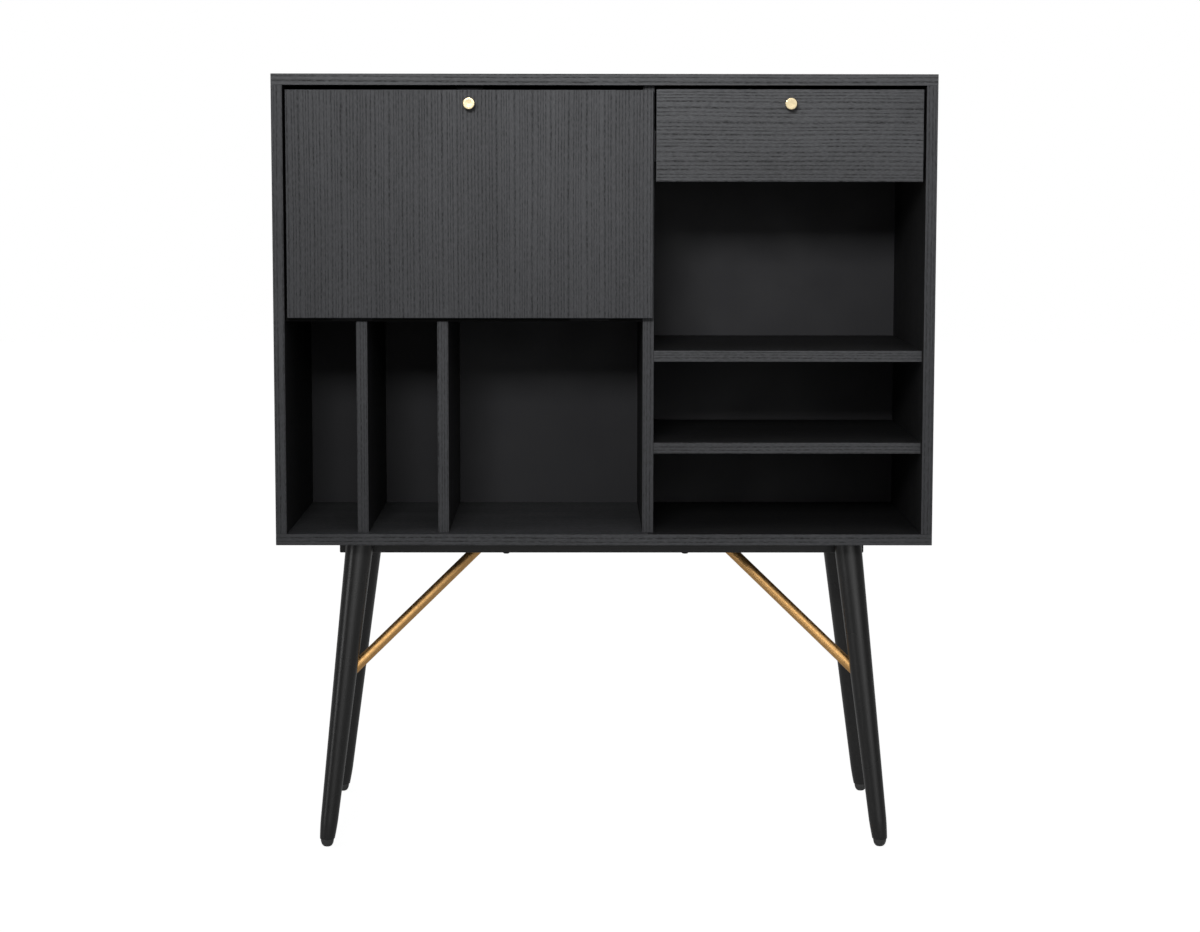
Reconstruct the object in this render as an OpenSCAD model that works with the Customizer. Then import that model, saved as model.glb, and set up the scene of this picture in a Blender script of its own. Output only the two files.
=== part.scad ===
// Tall sideboard on splayed legs, with a drop flap, a drawer and open bays.
// Millimetres. +X is the viewer's right, the front faces -Y, +Z is up, and z = 0 is the floor.

/* [Carcass] */
// Width of the carcass
cabinet_w = 1000; // [960:5:1080]
// Depth of the carcass, without the knobs
cabinet_d = 420; // [410:1:450]
// Height of the carcass, from its underside to its top
carcass_h = 712; // [706:1:740]
// Thickness of every veneered board
board_t = 17; // [16:0.5:18]
// Thickness of the back panel
back_t = 8; // [6:0.5:9]
// Wood left behind the back panel
back_inset = 8; // [6:0.5:12]
// Depth of the groove that holds the back panel
back_groove = 6; // [4:0.5:8]
// How far the uprights and shelves stand behind the carcass front
inner_setback = 20; // [20:0.5:24]

/* [Inner layout] */
// Middle of the tall upright, measured to the right of the cabinet's middle
upright_x = 66.7; // [55:0.1:75]
// Clear width of each of the two narrow bays
narrow_bay_w = 106; // [90:0.5:120]
// Underside of the lower shelf above the underside of the carcass
lower_shelf_z = 138.5; // [110:0.5:160]
// Underside of the upper shelf above the underside of the carcass
upper_shelf_z = 279; // [250:0.5:310]

/* [Flap and drawer fronts] */
// Thickness of the flap and the drawer front
front_t = 18; // [17.5:0.1:18]
// Gap between a front and the side panel beside it
side_gap = 4; // [3:0.1:6]
// Gap between the flap and the drawer front
middle_gap = 4.4; // [3:0.1:6]
// Gap above the flap
flap_top_gap = 6.8; // [6.8:0.1:9]
// Height of the flap
flap_h = 342; // [338:0.1:342]
// How far the flap covers the front edge of the compartment floor
flap_floor_lap = 10.8; // [5:0.1:12.8]
// Gap above the drawer front
drawer_top_gap = 5.5; // [3:0.1:8]
// Height of the drawer front
drawer_front_h = 138; // [134:0.5:146]

/* [Knobs] */
// Diameter of a knob's flat head
knob_d = 18; // [14:0.5:22]
// Thickness of a knob's head
knob_head_t = 4; // [3:0.25:6]
// Diameter of a knob's neck
knob_neck_d = 9; // [8:0.5:12]
// How far a knob stands out from the front
knob_projection = 20; // [16:0.5:26]
// Height of both knobs, measured down from the top of the carcass
knob_drop = 44.5; // [43:0.1:46]
// Diameter of the screw that holds a knob
knob_screw_d = 4; // [3:0.5:5]

/* [Drawer box and runners] */
// Height of the drawer box
box_h = 96; // [80:1:98]
// Underside of the drawer box above the underside of the drawer front
box_lift = 8.5; // [6:0.5:10]
// Thickness of the drawer box walls
box_wall_t = 12; // [11:0.5:14]
// Room between the drawer box and the back panel
drawer_back_gap = 36; // [26:1:46]
// Thickness of the drawer bottom
box_bottom_t = 6; // [4:0.5:7]
// Depth of the groove that holds the drawer bottom
box_groove = 5; // [3:0.5:6]
// Height of the drawer bottom above the underside of the box
box_bottom_lift = 8; // [6:0.5:12]
// Room that a runner takes between the drawer box and the board beside it
runner_room = 12.7; // [12.4:0.1:13]
// Height of a runner's outer channel
runner_h = 45; // [42:0.5:48]
// Thickness of the runner's sheet steel
runner_sheet = 1.2; // [1:0.1:1.3]
// Sliding clearance between the runner's channels
runner_play = 0.3; // [0.3:0.05:0.4]

/* [Hinges] */
// Width of a hinge
hinge_w = 60; // [50:1:70]
// Middle of each hinge, measured inward from the sides of the flap
hinge_side = 96; // [80:1:130]
// Thickness of a hinge leaf
hinge_leaf_t = 1.6; // [1.4:0.05:1.7]
// Radius of a hinge knuckle
hinge_knuckle_r = 3.2; // [3:0.05:3.2]
// Diameter of a hinge pin
hinge_pin_d = 3; // [2.5:0.1:3.2]
// Height of a hinge leaf on the flap
hinge_leaf_h = 36; // [34:1:44]
// Clearance around a knuckle
hinge_play = 0.4; // [0.3:0.05:0.4]
// Pivot height above the lower edge of the flap
hinge_lift = 3.8; // [3.7:0.05:3.8]

/* [Flap stays] */
// Diameter of a stay rod
stay_rod_d = 6; // [5:0.5:6.5]
// Room between the back panel and the ends of the rods when the flap is closed
stay_back_room = 27.5; // [20:0.5:60]
// Distance from the flap's inner face to the rod's eye
stay_eye_gap = 8.5; // [8.5:0.1:10]
// Direction of the guide from the hinge pivot, in degrees above the level
stay_guide_angle = 48; // [44:1:52]
// Length of a guide block along its rod
stay_block_len = 22; // [18:1:26]
// Distance of a rod from the board beside it
stay_offset = 13; // [12.6:0.1:14]
// Running clearance around the stay's rod and against its faces
stay_play = 0.3; // [0.3:0.05:0.4]

/* [Legs] */
// Height of the carcass above the floor
leg_h = 473; // [440:1:500]
// Diameter of a leg at the top
leg_top_d = 42.6; // [40:0.2:44]
// Diameter of a leg at the floor
leg_foot_d = 25.4; // [23:0.2:28]
// Front leg tops, measured inward from the carcass sides
front_leg_top_side = 122.5; // [115:0.5:135]
// Front leg feet, measured inward from the carcass sides
front_leg_foot_side = 70.5; // [60:0.5:85]
// Rear leg tops, measured inward from the carcass sides
rear_leg_top_side = 120.5; // [115:0.5:135]
// Rear leg feet, measured inward from the carcass sides
rear_leg_foot_side = 61.5; // [55:0.5:80]
// Leg tops, measured inward from the front or the rear of the carcass
leg_top_inset = 71; // [68:0.5:73]
// Leg feet, measured inward from the front or the rear of the carcass
leg_foot_inset = 19; // [15:0.5:30]
// Height of a foot glide below the leg
glide_h = 12; // [8:0.5:14]
// Diameter of a foot glide
glide_d = 20.5; // [17:0.5:22]

/* [Underframe] */
// Distance from the carcass front or rear to the nearer face of a rail
rail_inset = 90; // [89:0.25:91]
// Thickness of a rail, front to back
rail_t = 20; // [18:0.5:24]
// Height of a rail
rail_h = 24; // [22:0.5:28]
// Rail ends, measured inward from the carcass sides
rail_end_side = 92; // [85:0.5:95]
// How far the rails sit to the left of the middle
rail_shift = 3; // [0:0.5:5]
// Left rail screw, measured from the middle of the cabinet
rail_screw_left_x = -152; // [-250:1:-60]
// Right rail screw, measured from the middle of the cabinet
rail_screw_right_x = 127; // [60:1:250]
// Diameter of a brace tube
brace_d = 17; // [14:0.5:17]
// Wall thickness of a brace tube
brace_wall = 1.5; // [1:0.1:2.5]
// Height on the leg where a brace points, as a part of the leg's length from the top
brace_leg_part = 0.45; // [0.4:0.01:0.5]
// Upper end of a brace, measured sideways from the top of its leg
brace_reach = 208.5; // [180:0.5:212]
// Upper end of a brace, measured inward from the carcass front
brace_top_inset = 180; // [160:1:190]

/* [Hidden] */
$fn = 48;

// Places shared by several pieces, in the carcass frame:
// y = 0 on the carcass front, z = 0 on the carcass underside.
front_y = -(cabinet_d - knob_projection) / 2;
half_w = cabinet_w / 2;
left_face = -half_w + board_t;
right_face = half_w - board_t;
top_face = carcass_h - board_t;
back_face = cabinet_d - back_inset - back_t;
upright_left = upright_x - board_t / 2;
upright_right = upright_x + board_t / 2;
outer_divider_x = left_face + narrow_bay_w;
inner_divider_x = outer_divider_x + board_t + narrow_bay_w;

// Fronts
flap_left = left_face + side_gap;
flap_right = upright_right - middle_gap / 2;
flap_middle = (flap_left + flap_right) / 2;
flap_top = top_face - flap_top_gap;
flap_bottom = flap_top - flap_h;
compartment_top = flap_bottom + flap_floor_lap;
compartment_z = compartment_top - board_t;
drawer_left = upright_right + middle_gap / 2;
drawer_right = right_face - side_gap;
drawer_middle = (drawer_left + drawer_right) / 2;
drawer_top = top_face - drawer_top_gap;
drawer_bottom_z = drawer_top - drawer_front_h;

// Wooden dowels
dowel_d = 8;
dowel_seat = 10;
dowel_grip = 20;
dowel_inset = 40;
panel_dowels = 4;
inner_dowels = 3;

// Spare length for cuts that run past a face
cut_spare = 1;

// Small countersunk screws that hold the fittings
fitting_screw_d = 3;
fitting_head_d = 6;
fitting_screw_len = 14;

// Knobs
knob_z = carcass_h - knob_drop;
knob_base_edge = 1.5;
knob_base_h = 1.5;
knob_rim = 0.6;
knob_dish = 0.5;

// Knob screws and other pan heads
knob_screw_head_d = 8;
knob_screw_head_h = 2.5;
knob_screw_grip = 10;
pan_head_taper = 0.7;

// Drawer box
box_left = upright_right + runner_room;
box_right = right_face - runner_room;
box_front_y = front_t;
box_back_y = back_face - drawer_back_gap;
box_z = drawer_bottom_z + box_lift;
box_bottom_z = box_z + box_bottom_lift;
box_dowel_d = 6;
box_dowel_seat = 6;
box_dowel_grip = 14;
box_dowel_z = [box_z + 0.4 * box_h, box_z + 0.83 * box_h];
box_screw_d = 4;
box_screw_head_d = 8;
box_screw_len = 25;
box_screw_inset = 50;
box_screw_z = [box_z + 0.27 * box_h, box_z + 0.79 * box_h];

// Runners
runner_setback = 5;
runner_drop = 3;
runner_end_gap = 0.5;
runner_web_gap = 1.6;
runner_screw_spread = 120;
runner_screw_grip = 9;
runner_head_d = 7;
runner_head_h = 1;
runner_y = box_front_y + runner_setback;
runner_len = box_back_y - runner_setback - runner_y;
runner_z = box_z + box_h / 2 - runner_drop;
runner_flange_reach = runner_room - runner_sheet - runner_end_gap;
runner_middle_h = runner_h - 2 * runner_sheet - 2 * runner_play;
runner_inner_h = runner_middle_h - 2 * runner_sheet - 2 * runner_play;
runner_middle_x = runner_sheet + runner_web_gap;
runner_inner_x = runner_middle_x + runner_sheet + runner_web_gap;
runner_screw_y = [for (part = [-1, 0, 1]) runner_len / 2 + part * runner_screw_spread];

// Hinges
hinge_y = front_t - hinge_knuckle_r;
hinge_z = flap_bottom + hinge_lift;
hinge_floor_leaf_h = 14;
hinge_side_part = hinge_w / 4;
hinge_part_gap = 0.3;
hinge_pin_play = 0.05;
hinge_flap_screw_z = 9;

// Stays: the guide lies on the circle that the rod's eye runs round the hinge pivot,
// so guide and rod turn by exactly half of the flap's angle.
// The eye is as high as the room behind the closed rods allows.
stay_eye_y = front_t + stay_eye_gap;
stay_collar_len = 7;
stay_tail = stay_block_len / 2 + stay_play + stay_collar_len;
stay_tail_y = stay_tail * cos(45 - stay_guide_angle / 2);
stay_eye_back = stay_eye_y - (stay_eye_y - hinge_y) * sin(45);
stay_reach_y = back_face - stay_back_room - stay_eye_back - stay_tail_y;
stay_eye_h = stay_reach_y / (sin(45) + sin(135 - stay_guide_angle));
stay_eye_z = hinge_z + stay_eye_h;
stay_radius = norm([stay_eye_y - hinge_y, stay_eye_h]);
stay_eye_angle = atan2(stay_eye_h, stay_eye_y - hinge_y);
stay_guide_y = hinge_y + stay_radius * cos(stay_guide_angle);
stay_guide_z = hinge_z + stay_radius * sin(stay_guide_angle);
stay_tilt = atan2(stay_guide_z - stay_eye_z, stay_guide_y - stay_eye_y);
stay_open_reach = 2 * stay_radius * sin((stay_eye_angle + 90 - stay_guide_angle) / 2);
stay_collar_at = stay_open_reach + stay_block_len / 2 + stay_play;
stay_collar_d = 10;
stay_eye_r = 6;
stay_eye_lip = 0.25;
stay_eye_t = stay_rod_d + 2 * stay_eye_lip;
stay_pin_d = 5;
stay_pin_play = 0.05;
stay_lug_t = 3;
stay_plate_t = 2;
stay_plate_w = 24;
stay_plate_h = 44;
stay_plate_screw_z = 16;
stay_bracket_h = 30;
stay_bracket_screw_z = 10.5;
stay_bracket_edge = 6;
stay_pin_head_d = 8;
stay_pin_head_t = 1;
stay_block_w = 16.6;
stay_block_h = 16;
stay_pivot_d = 6;
stay_pivot_len = 4.6;

// Catch
catch_w = 40;
catch_d = 20;
catch_h = 14;
catch_gap = 0.4;
catch_screw_inset = 4;
catch_magnet_w = 24;
catch_magnet_h = 8;
catch_magnet_d = 8;
catch_magnet_lift = 1;
strike_w = 30;
strike_h = 12;
strike_t = 1;
strike_drop = 1.2;
catch_y = front_t + strike_t + catch_gap;

// Legs and underframe
leg_top_r = leg_top_d / 2;
leg_foot_r = leg_foot_d / 2;
leg_spare = 20;
leg_end_h = 30;
leg_end_in = 1.5;
glide_sole_d = 7;
glide_rings = 4;
glide_stem_d = 5;
glide_stem_len = 14;
leg_bolt_d = 8;
leg_bolt_down = 34;
leg_bolt_up = 12;
leg_insert_d = 11;
leg_insert_h = 13;
side_screw_d = 4.5;
side_screw_head_d = 9;
side_screw_grip = 10;
side_screw_z = -12;
rail_screw_d = 5;
rail_screw_up = 12;
rail_head_d = 10.5;
rail_head_h = 2.4;
brace_flange_d = 37;
brace_flange_t = 3;
brace_seat = 12;
brace_spare = 30;
brace_screw_d = 4;
brace_screw_len = 12;
brace_head_d = 8;
brace_head_h = 2.2;
brace_screw_offset = 13.6;

FRONT = 0;
REAR = 1;
LEFT = -1;
RIGHT = 1;
steel = "silver";
brass = "goldenrod";
wood = "dimgray";

// Puts the carcass frame on the legs.
module in_carcass() {
    translate([0, front_y, leg_h])
        children();
}

// Straight block between two limits on each axis.
module block(x0, x1, y0, y1, z0, z1) {
    translate([x0, y0, z0])
        cube([x1 - x0, y1 - y0, z1 - z0]);
}

// Turns the z axis of a piece so that it runs from one point to another.
// The quarter turn sets a round piece's seam level, clear of its cuts.
module along(from, to) {
    run = to - from;
    translate(from)
        rotate([0, acos(run.z / norm(run)), atan2(run.y, run.x)])
            rotate([0, 0, 90])
                children();
}

// Points a piece's z axis backward into the wood behind it.
module pointing_back() {
    rotate([-90, 0, 0])
        children();
}

// Points a piece's z axis forward.
module pointing_front() {
    rotate([90, 0, 0])
        children();
}

// Countersunk screw with its flat head at z = 0, driven along +z.
module countersunk_screw(shank_d, head_d, length) {
    cone_h = (head_d - shank_d) / 2;
    cylinder(d1 = head_d, d2 = shank_d, h = cone_h);
    cylinder(d = shank_d, h = length);
}

// Pan head screw whose head sits below z = 0 and whose shank is driven along +z.
module pan_screw(shank_d, head_d, head_h, length) {
    translate([0, 0, -head_h])
        cylinder(d1 = head_d * pan_head_taper, d2 = head_d, h = head_h / 2);
    translate([0, 0, -head_h / 2])
        cylinder(d = head_d, h = head_h / 2);
    cylinder(d = shank_d, h = length);
}

// Small screw for the fittings.
module fitting_screw() {
    countersunk_screw(fitting_screw_d, fitting_head_d, fitting_screw_len);
}

// Carcass boards

module back_panel_shape() {
    block(left_face - back_groove, right_face + back_groove, back_face, back_face + back_t,
        board_t - back_groove, top_face + back_groove);
}

// Upright dowels, driven down through a joint at height z.
module upright_dowels(x, z, up, depths) {
    for (y = depths)
        translate([x, y, z - (dowel_seat + dowel_grip - up)])
            cylinder(d = dowel_d, h = dowel_seat + dowel_grip);
}

// Level dowels through a joint at x; "left" of them lies on its left.
module level_dowels(x, z, left, depths) {
    for (y = depths)
        translate([x - left, y, z])
            rotate([0, 90, 0])
                cylinder(d = dowel_d, h = dowel_seat + dowel_grip);
}

function panel_depths() =
    [for (part = [0 : panel_dowels - 1])
        dowel_inset + part * (back_face - 2 * dowel_inset) / (panel_dowels - 1)];

function inner_depths() =
    [for (part = [0 : inner_dowels - 1])
        inner_setback + dowel_inset
            + part * (back_face - inner_setback - 2 * dowel_inset) / (inner_dowels - 1)];

module carcass_dowels_shape() {
    for (x = [left_face - board_t / 2, right_face + board_t / 2]) {
        upright_dowels(x, board_t, dowel_grip, panel_depths());
        upright_dowels(x, top_face, dowel_seat, panel_depths());
    }
    upright_dowels(upright_x, board_t, dowel_grip, inner_depths());
    upright_dowels(upright_x, top_face, dowel_seat, inner_depths());
}

module divider_dowels_shape() {
    for (x = [outer_divider_x, inner_divider_x]) {
        upright_dowels(x + board_t / 2, board_t, dowel_grip, inner_depths());
        upright_dowels(x + board_t / 2, compartment_z, dowel_seat, inner_depths());
    }
    level_dowels(left_face, compartment_z + board_t / 2, dowel_seat, inner_depths());
    level_dowels(upright_left, compartment_z + board_t / 2, dowel_grip, inner_depths());
}

module shelf_dowels_shape() {
    for (z = [lower_shelf_z, upper_shelf_z]) {
        level_dowels(upright_right, z + board_t / 2, dowel_seat, inner_depths());
        level_dowels(right_face, z + board_t / 2, dowel_grip, inner_depths());
    }
}

module top_board() {
    color(wood)
        in_carcass()
            difference() {
                block(-half_w, half_w, 0, cabinet_d, top_face, carcass_h);
                back_panel_shape();
                carcass_dowels_shape();
                catch_screws_shape();
            }
}

module bottom_board() {
    color(wood)
        in_carcass()
            difference() {
                block(-half_w, half_w, 0, cabinet_d, 0, board_t);
                back_panel_shape();
                carcass_dowels_shape();
                divider_dowels_shape();
                rail_screws_shape();
                leg_inserts_shape();
                brace_screws_shape();
            }
}

module side_panel(x0, x1) {
    difference() {
        block(x0, x1, 0, cabinet_d, board_t, top_face);
        back_panel_shape();
        carcass_dowels_shape();
        children();
    }
}

module left_side_panel() {
    color(wood)
        in_carcass()
            side_panel(-half_w, left_face) {
                union() {
                    divider_dowels_shape();
                    stay_plate_screws_shape();
                }
            }
}

module right_side_panel() {
    color(wood)
        in_carcass()
            side_panel(right_face, half_w) {
                union() {
                    shelf_dowels_shape();
                    runner_cabinet_screws_shape();
                }
            }
}

module back_panel() {
    color(wood)
        in_carcass()
            back_panel_shape();
}

module middle_upright() {
    color(wood)
        in_carcass()
            difference() {
                block(upright_left, upright_right, inner_setback, back_face, board_t, top_face);
                carcass_dowels_shape();
                divider_dowels_shape();
                shelf_dowels_shape();
                stay_plate_screws_shape();
                runner_cabinet_screws_shape();
            }
}

module compartment_floor() {
    color(wood)
        in_carcass()
            difference() {
                block(left_face, upright_left, inner_setback, back_face, compartment_z, compartment_top);
                divider_dowels_shape();
                floor_leaf_recesses();
                floor_hinge_screws_shape();
            }
}

module divider(x) {
    color(wood)
        in_carcass()
            difference() {
                block(x, x + board_t, inner_setback, back_face, board_t, compartment_z);
                divider_dowels_shape();
            }
}

module outer_divider() {
    divider(outer_divider_x);
}

module inner_divider() {
    divider(inner_divider_x);
}

module shelf(z) {
    color(wood)
        in_carcass()
            difference() {
                block(upright_right, right_face, inner_setback, back_face, z, z + board_t);
                shelf_dowels_shape();
            }
}

module upper_shelf() {
    shelf(upper_shelf_z);
}

module lower_shelf() {
    shelf(lower_shelf_z);
}

module carcass_dowels() {
    color("tan")
        in_carcass()
            carcass_dowels_shape();
}

module divider_dowels() {
    color("tan")
        in_carcass()
            divider_dowels_shape();
}

module shelf_dowels() {
    color("tan")
        in_carcass()
            shelf_dowels_shape();
}

// Legs: side is LEFT or RIGHT, row is FRONT or REAR

function leg_top(side, row) = [
    side * (half_w - (row == FRONT ? front_leg_top_side : rear_leg_top_side)),
    row == FRONT ? leg_top_inset : cabinet_d - leg_top_inset,
    0];

function leg_foot(side, row) = [
    side * (half_w - (row == FRONT ? front_leg_foot_side : rear_leg_foot_side)),
    row == FRONT ? leg_foot_inset : cabinet_d - leg_foot_inset,
    -leg_h];

// A point on a leg's axis, as a part of the way down from its top.
function leg_point(side, row, part) =
    leg_top(side, row) + part * (leg_foot(side, row) - leg_top(side, row));

// Point on the floor below the middle of a leg's end.
function glide_foot(side, row) =
    let (leg_end = leg_point(side, row, 1 - glide_h / leg_h))
        [leg_end.x, leg_end.y, -leg_h];

module each_leg() {
    for (side = [LEFT, RIGHT])
        for (row = [FRONT, REAR]) {
            $side = side;
            $row = row;
            children();
        }
}

// Tapered round leg that draws in over its last stretch. It runs past both level cuts.
module leg_cone(side, row) {
    top = leg_top(side, row);
    start = leg_point(side, row, 1 - glide_h / leg_h);
    length = norm(top - start);
    taper = (leg_top_r - leg_foot_r) / length;
    along(start, top) {
        translate([0, 0, leg_end_h])
            cylinder(r1 = leg_foot_r + taper * leg_end_h, r2 = leg_top_r + taper * leg_spare,
                h = length - leg_end_h + leg_spare, $fn = 64);
        translate([0, 0, -leg_end_h])
            cylinder(r1 = leg_foot_r - 2 * leg_end_in, r2 = leg_foot_r + taper * leg_end_h,
                h = 2 * leg_end_h, $fn = 64);
    }
}

// Room between the level cuts at a leg's top and foot.
module leg_room() {
    block(-half_w, half_w, -leg_top_d, cabinet_d + leg_top_d, -leg_h + glide_h, 0);
}

module glide_stem_shape(side, row) {
    translate(glide_foot(side, row))
        translate([0, 0, glide_h])
            cylinder(d = glide_stem_d, h = glide_stem_len);
}

module leg_bolt_shape(side, row) {
    top = leg_top(side, row);
    translate([top.x, top.y, -leg_bolt_down])
        cylinder(d = leg_bolt_d, h = leg_bolt_down + leg_bolt_up);
}

module leg_inserts_shape() {
    each_leg()
        translate(leg_top($side, $row))
            cylinder(d = leg_insert_d, h = leg_insert_h);
}

// Screws that run from the far face of a rail into the leg beside it.
module side_screw_shape(side, row) {
    top = leg_top(side, row);
    length = rail_t + side_screw_grip;
    y = row == FRONT ? rail_inset + rail_t : cabinet_d - rail_inset - rail_t;
    translate([top.x, y, side_screw_z])
        rotate([row == FRONT ? 90 : -90, 0, 0])
            countersunk_screw(side_screw_d, side_screw_head_d, length);
}

module leg(side, row) {
    color(wood)
        in_carcass()
            difference() {
                intersection() {
                    leg_cone(side, row);
                    leg_room();
                }
                rail_shape(row);
                glide_stem_shape(side, row);
                leg_bolt_shape(side, row);
                side_screw_shape(side, row);
                if (row == FRONT)
                    brace_socket_shape(side);
            }
}

module front_left_leg() {
    leg(LEFT, FRONT);
}

module front_right_leg() {
    leg(RIGHT, FRONT);
}

module rear_left_leg() {
    leg(LEFT, REAR);
}

module rear_right_leg() {
    leg(RIGHT, REAR);
}

module leg_inserts() {
    color(brass)
        in_carcass()
            difference() {
                leg_inserts_shape();
                each_leg()
                    leg_bolt_shape($side, $row);
            }
}

module leg_bolts() {
    color(steel)
        in_carcass()
            each_leg()
                leg_bolt_shape($side, $row);
}

module leg_side_screws() {
    color(steel)
        in_carcass()
            each_leg()
                side_screw_shape($side, $row);
}

function glide_ring_z(angle) = glide_h * (1 - cos(angle));

function glide_ring_d(angle) = glide_sole_d + (glide_d - glide_sole_d) * sin(angle);

// Domed glide with a flat sole, in rings.
module glide_dome() {
    turn = 90 / glide_rings;
    for (low = [0 : turn : 90 - turn]) {
        high = low + turn;
        translate([0, 0, glide_ring_z(low)])
            cylinder(d1 = glide_ring_d(low), d2 = glide_ring_d(high), h = glide_ring_z(high) - glide_ring_z(low));
    }
}

module foot_glides() {
    color("dimgray")
        in_carcass()
            each_leg() {
                translate(glide_foot($side, $row))
                    glide_dome();
                glide_stem_shape($side, $row);
            }
}

// Underframe

function rail_y(row) = row == FRONT ? rail_inset : cabinet_d - rail_inset - rail_t;

module rail_shape(row) {
    block(-half_w + rail_end_side - rail_shift, half_w - rail_end_side - rail_shift,
        rail_y(row), rail_y(row) + rail_t, -rail_h, 0);
}

module rail_screws_shape() {
    for (x = [rail_screw_left_x, rail_screw_right_x])
        for (row = [FRONT, REAR])
            translate([x, rail_y(row) + rail_t / 2, -rail_h])
                pan_screw(rail_screw_d, rail_head_d, rail_head_h, rail_h + rail_screw_up);
}

module rail(row) {
    color(wood)
        in_carcass()
            difference() {
                rail_shape(row);
                rail_screws_shape();
                each_leg()
                    side_screw_shape($side, $row);
            }
}

module front_rail() {
    rail(FRONT);
}

module rear_rail() {
    rail(REAR);
}

module rail_screws() {
    color(steel)
        in_carcass()
            rail_screws_shape();
}

function brace_low(side) = leg_point(side, FRONT, brace_leg_part);

function brace_high(side) = [leg_top(side, FRONT).x - side * brace_reach, brace_top_inset, 0];

// Where the brace tube ends inside the leg.
function brace_end(side) =
    let (run = brace_high(side) - brace_low(side))
        brace_low(side) + run / norm(run) * (leg_top_r - brace_seat);

// Straight rod that runs from inside the leg past the board's underside.
module brace_rod(side, diameter, past_end) {
    start = brace_end(side);
    high = brace_high(side);
    along(start, high)
        translate([0, 0, -past_end])
            cylinder(d = diameter, h = norm(high - start) + brace_spare + past_end);
}

module brace_socket_shape(side) {
    brace_rod(side, brace_d, 0);
}

module below_flange() {
    block(-half_w, half_w, 0, cabinet_d, -leg_h, -brace_flange_t);
}

// Screws through a brace's flange, set square to the brace.
module brace_screw_places(side) {
    run = brace_high(side) - brace_low(side);
    across = [-run.y, run.x, 0] / norm([run.x, run.y]);
    for (turn = [-1, 1])
        translate(brace_high(side) + turn * brace_screw_offset * across - [0, 0, brace_flange_t])
            children();
}

module brace_screws_shape() {
    for (side = [LEFT, RIGHT])
        brace_screw_places(side)
            pan_screw(brace_screw_d, brace_head_d, brace_head_h, brace_screw_len);
}

module brace(side) {
    color(brass)
        in_carcass()
            difference() {
                union() {
                    intersection() {
                        difference() {
                            brace_rod(side, brace_d, 0);
                            brace_rod(side, brace_d - 2 * brace_wall, cut_spare);
                        }
                        below_flange();
                    }
                    translate(brace_high(side) - [0, 0, brace_flange_t])
                        cylinder(d = brace_flange_d, h = brace_flange_t);
                }
                brace_screws_shape();
            }
}

module left_brace() {
    brace(LEFT);
}

module right_brace() {
    brace(RIGHT);
}

module brace_screws() {
    color(brass)
        in_carcass()
            brace_screws_shape();
}

// Hinges between the compartment floor and the flap

module at_hinges() {
    for (x = [flap_left + hinge_side, flap_right - hinge_side])
        translate([x, 0, 0])
            children();
}

// Barrel along x, with its middle at x.
module barrel(x, width, radius) {
    translate([x - width / 2, hinge_y, hinge_z])
        rotate([0, 90, 0])
            cylinder(r = radius, h = width);
}

module floor_leaf_plate() {
    middle_z = compartment_z + board_t / 2;
    block(-hinge_w / 2, hinge_w / 2, inner_setback, inner_setback + hinge_leaf_t,
        middle_z - hinge_floor_leaf_h / 2, middle_z + hinge_floor_leaf_h / 2);
}

module floor_leaf_recesses() {
    at_hinges()
        floor_leaf_plate();
}

module floor_hinge_screw_places() {
    for (x = [-hinge_w / 3, 0, hinge_w / 3])
        translate([x, inner_setback, compartment_z + board_t / 2])
            pointing_back()
                children();
}

module floor_hinge_screws_shape() {
    at_hinges()
        floor_hinge_screw_places()
            fitting_screw();
}

module floor_hinge_leaves() {
    color(steel)
        in_carcass()
            at_hinges()
                difference() {
                    union() {
                        floor_leaf_plate();
                        for (turn = [-1, 1]) {
                            x = turn * (hinge_w - hinge_side_part) / 2;
                            barrel(x, hinge_side_part, hinge_knuckle_r);
                            block(x - hinge_side_part / 2, x + hinge_side_part / 2,
                                hinge_y, inner_setback + hinge_leaf_t,
                                hinge_z - hinge_knuckle_r, hinge_z - hinge_knuckle_r + hinge_leaf_t);
                        }
                    }
                    barrel(0, hinge_w, hinge_pin_d / 2);
                    floor_hinge_screw_places()
                        fitting_screw();
                }
}

module hinge_pins() {
    color(steel)
        in_carcass()
            at_hinges()
                barrel(0, hinge_w, hinge_pin_d / 2);
}

module flap_leaf_plate() {
    block(-hinge_w / 2, hinge_w / 2, front_t - hinge_leaf_t, front_t,
        hinge_z + hinge_knuckle_r + hinge_play, hinge_z + hinge_leaf_h);
}

module flap_hinge_screw_places() {
    for (x = [-hinge_w / 3, hinge_w / 3])
        for (z = [hinge_flap_screw_z, hinge_leaf_h - hinge_flap_screw_z + hinge_knuckle_r])
            translate([x, front_t, hinge_z + z])
                pointing_front()
                    children();
}

module flap_hinge_leaves() {
    middle_part = hinge_w - 2 * hinge_side_part - 2 * hinge_part_gap;
    color(steel)
        in_carcass()
            at_hinges()
                difference() {
                    union() {
                        flap_leaf_plate();
                        barrel(0, middle_part, hinge_knuckle_r);
                        block(-middle_part / 2, middle_part / 2, front_t - hinge_leaf_t, front_t,
                            hinge_z, hinge_z + hinge_knuckle_r + hinge_play);
                    }
                    barrel(0, hinge_w, hinge_pin_d / 2 + hinge_pin_play);
                    flap_hinge_screw_places()
                        fitting_screw();
                }
}

// Room in the flap for a hinge's knuckle and leaf.
module flap_hinge_notch() {
    reach = hinge_w / 2 + hinge_play;
    block(-reach, reach, hinge_y - hinge_knuckle_r - hinge_play, front_t + cut_spare,
        flap_bottom - cut_spare, hinge_z + hinge_knuckle_r + hinge_play);
    flap_leaf_plate();
}

// Flap

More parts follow.
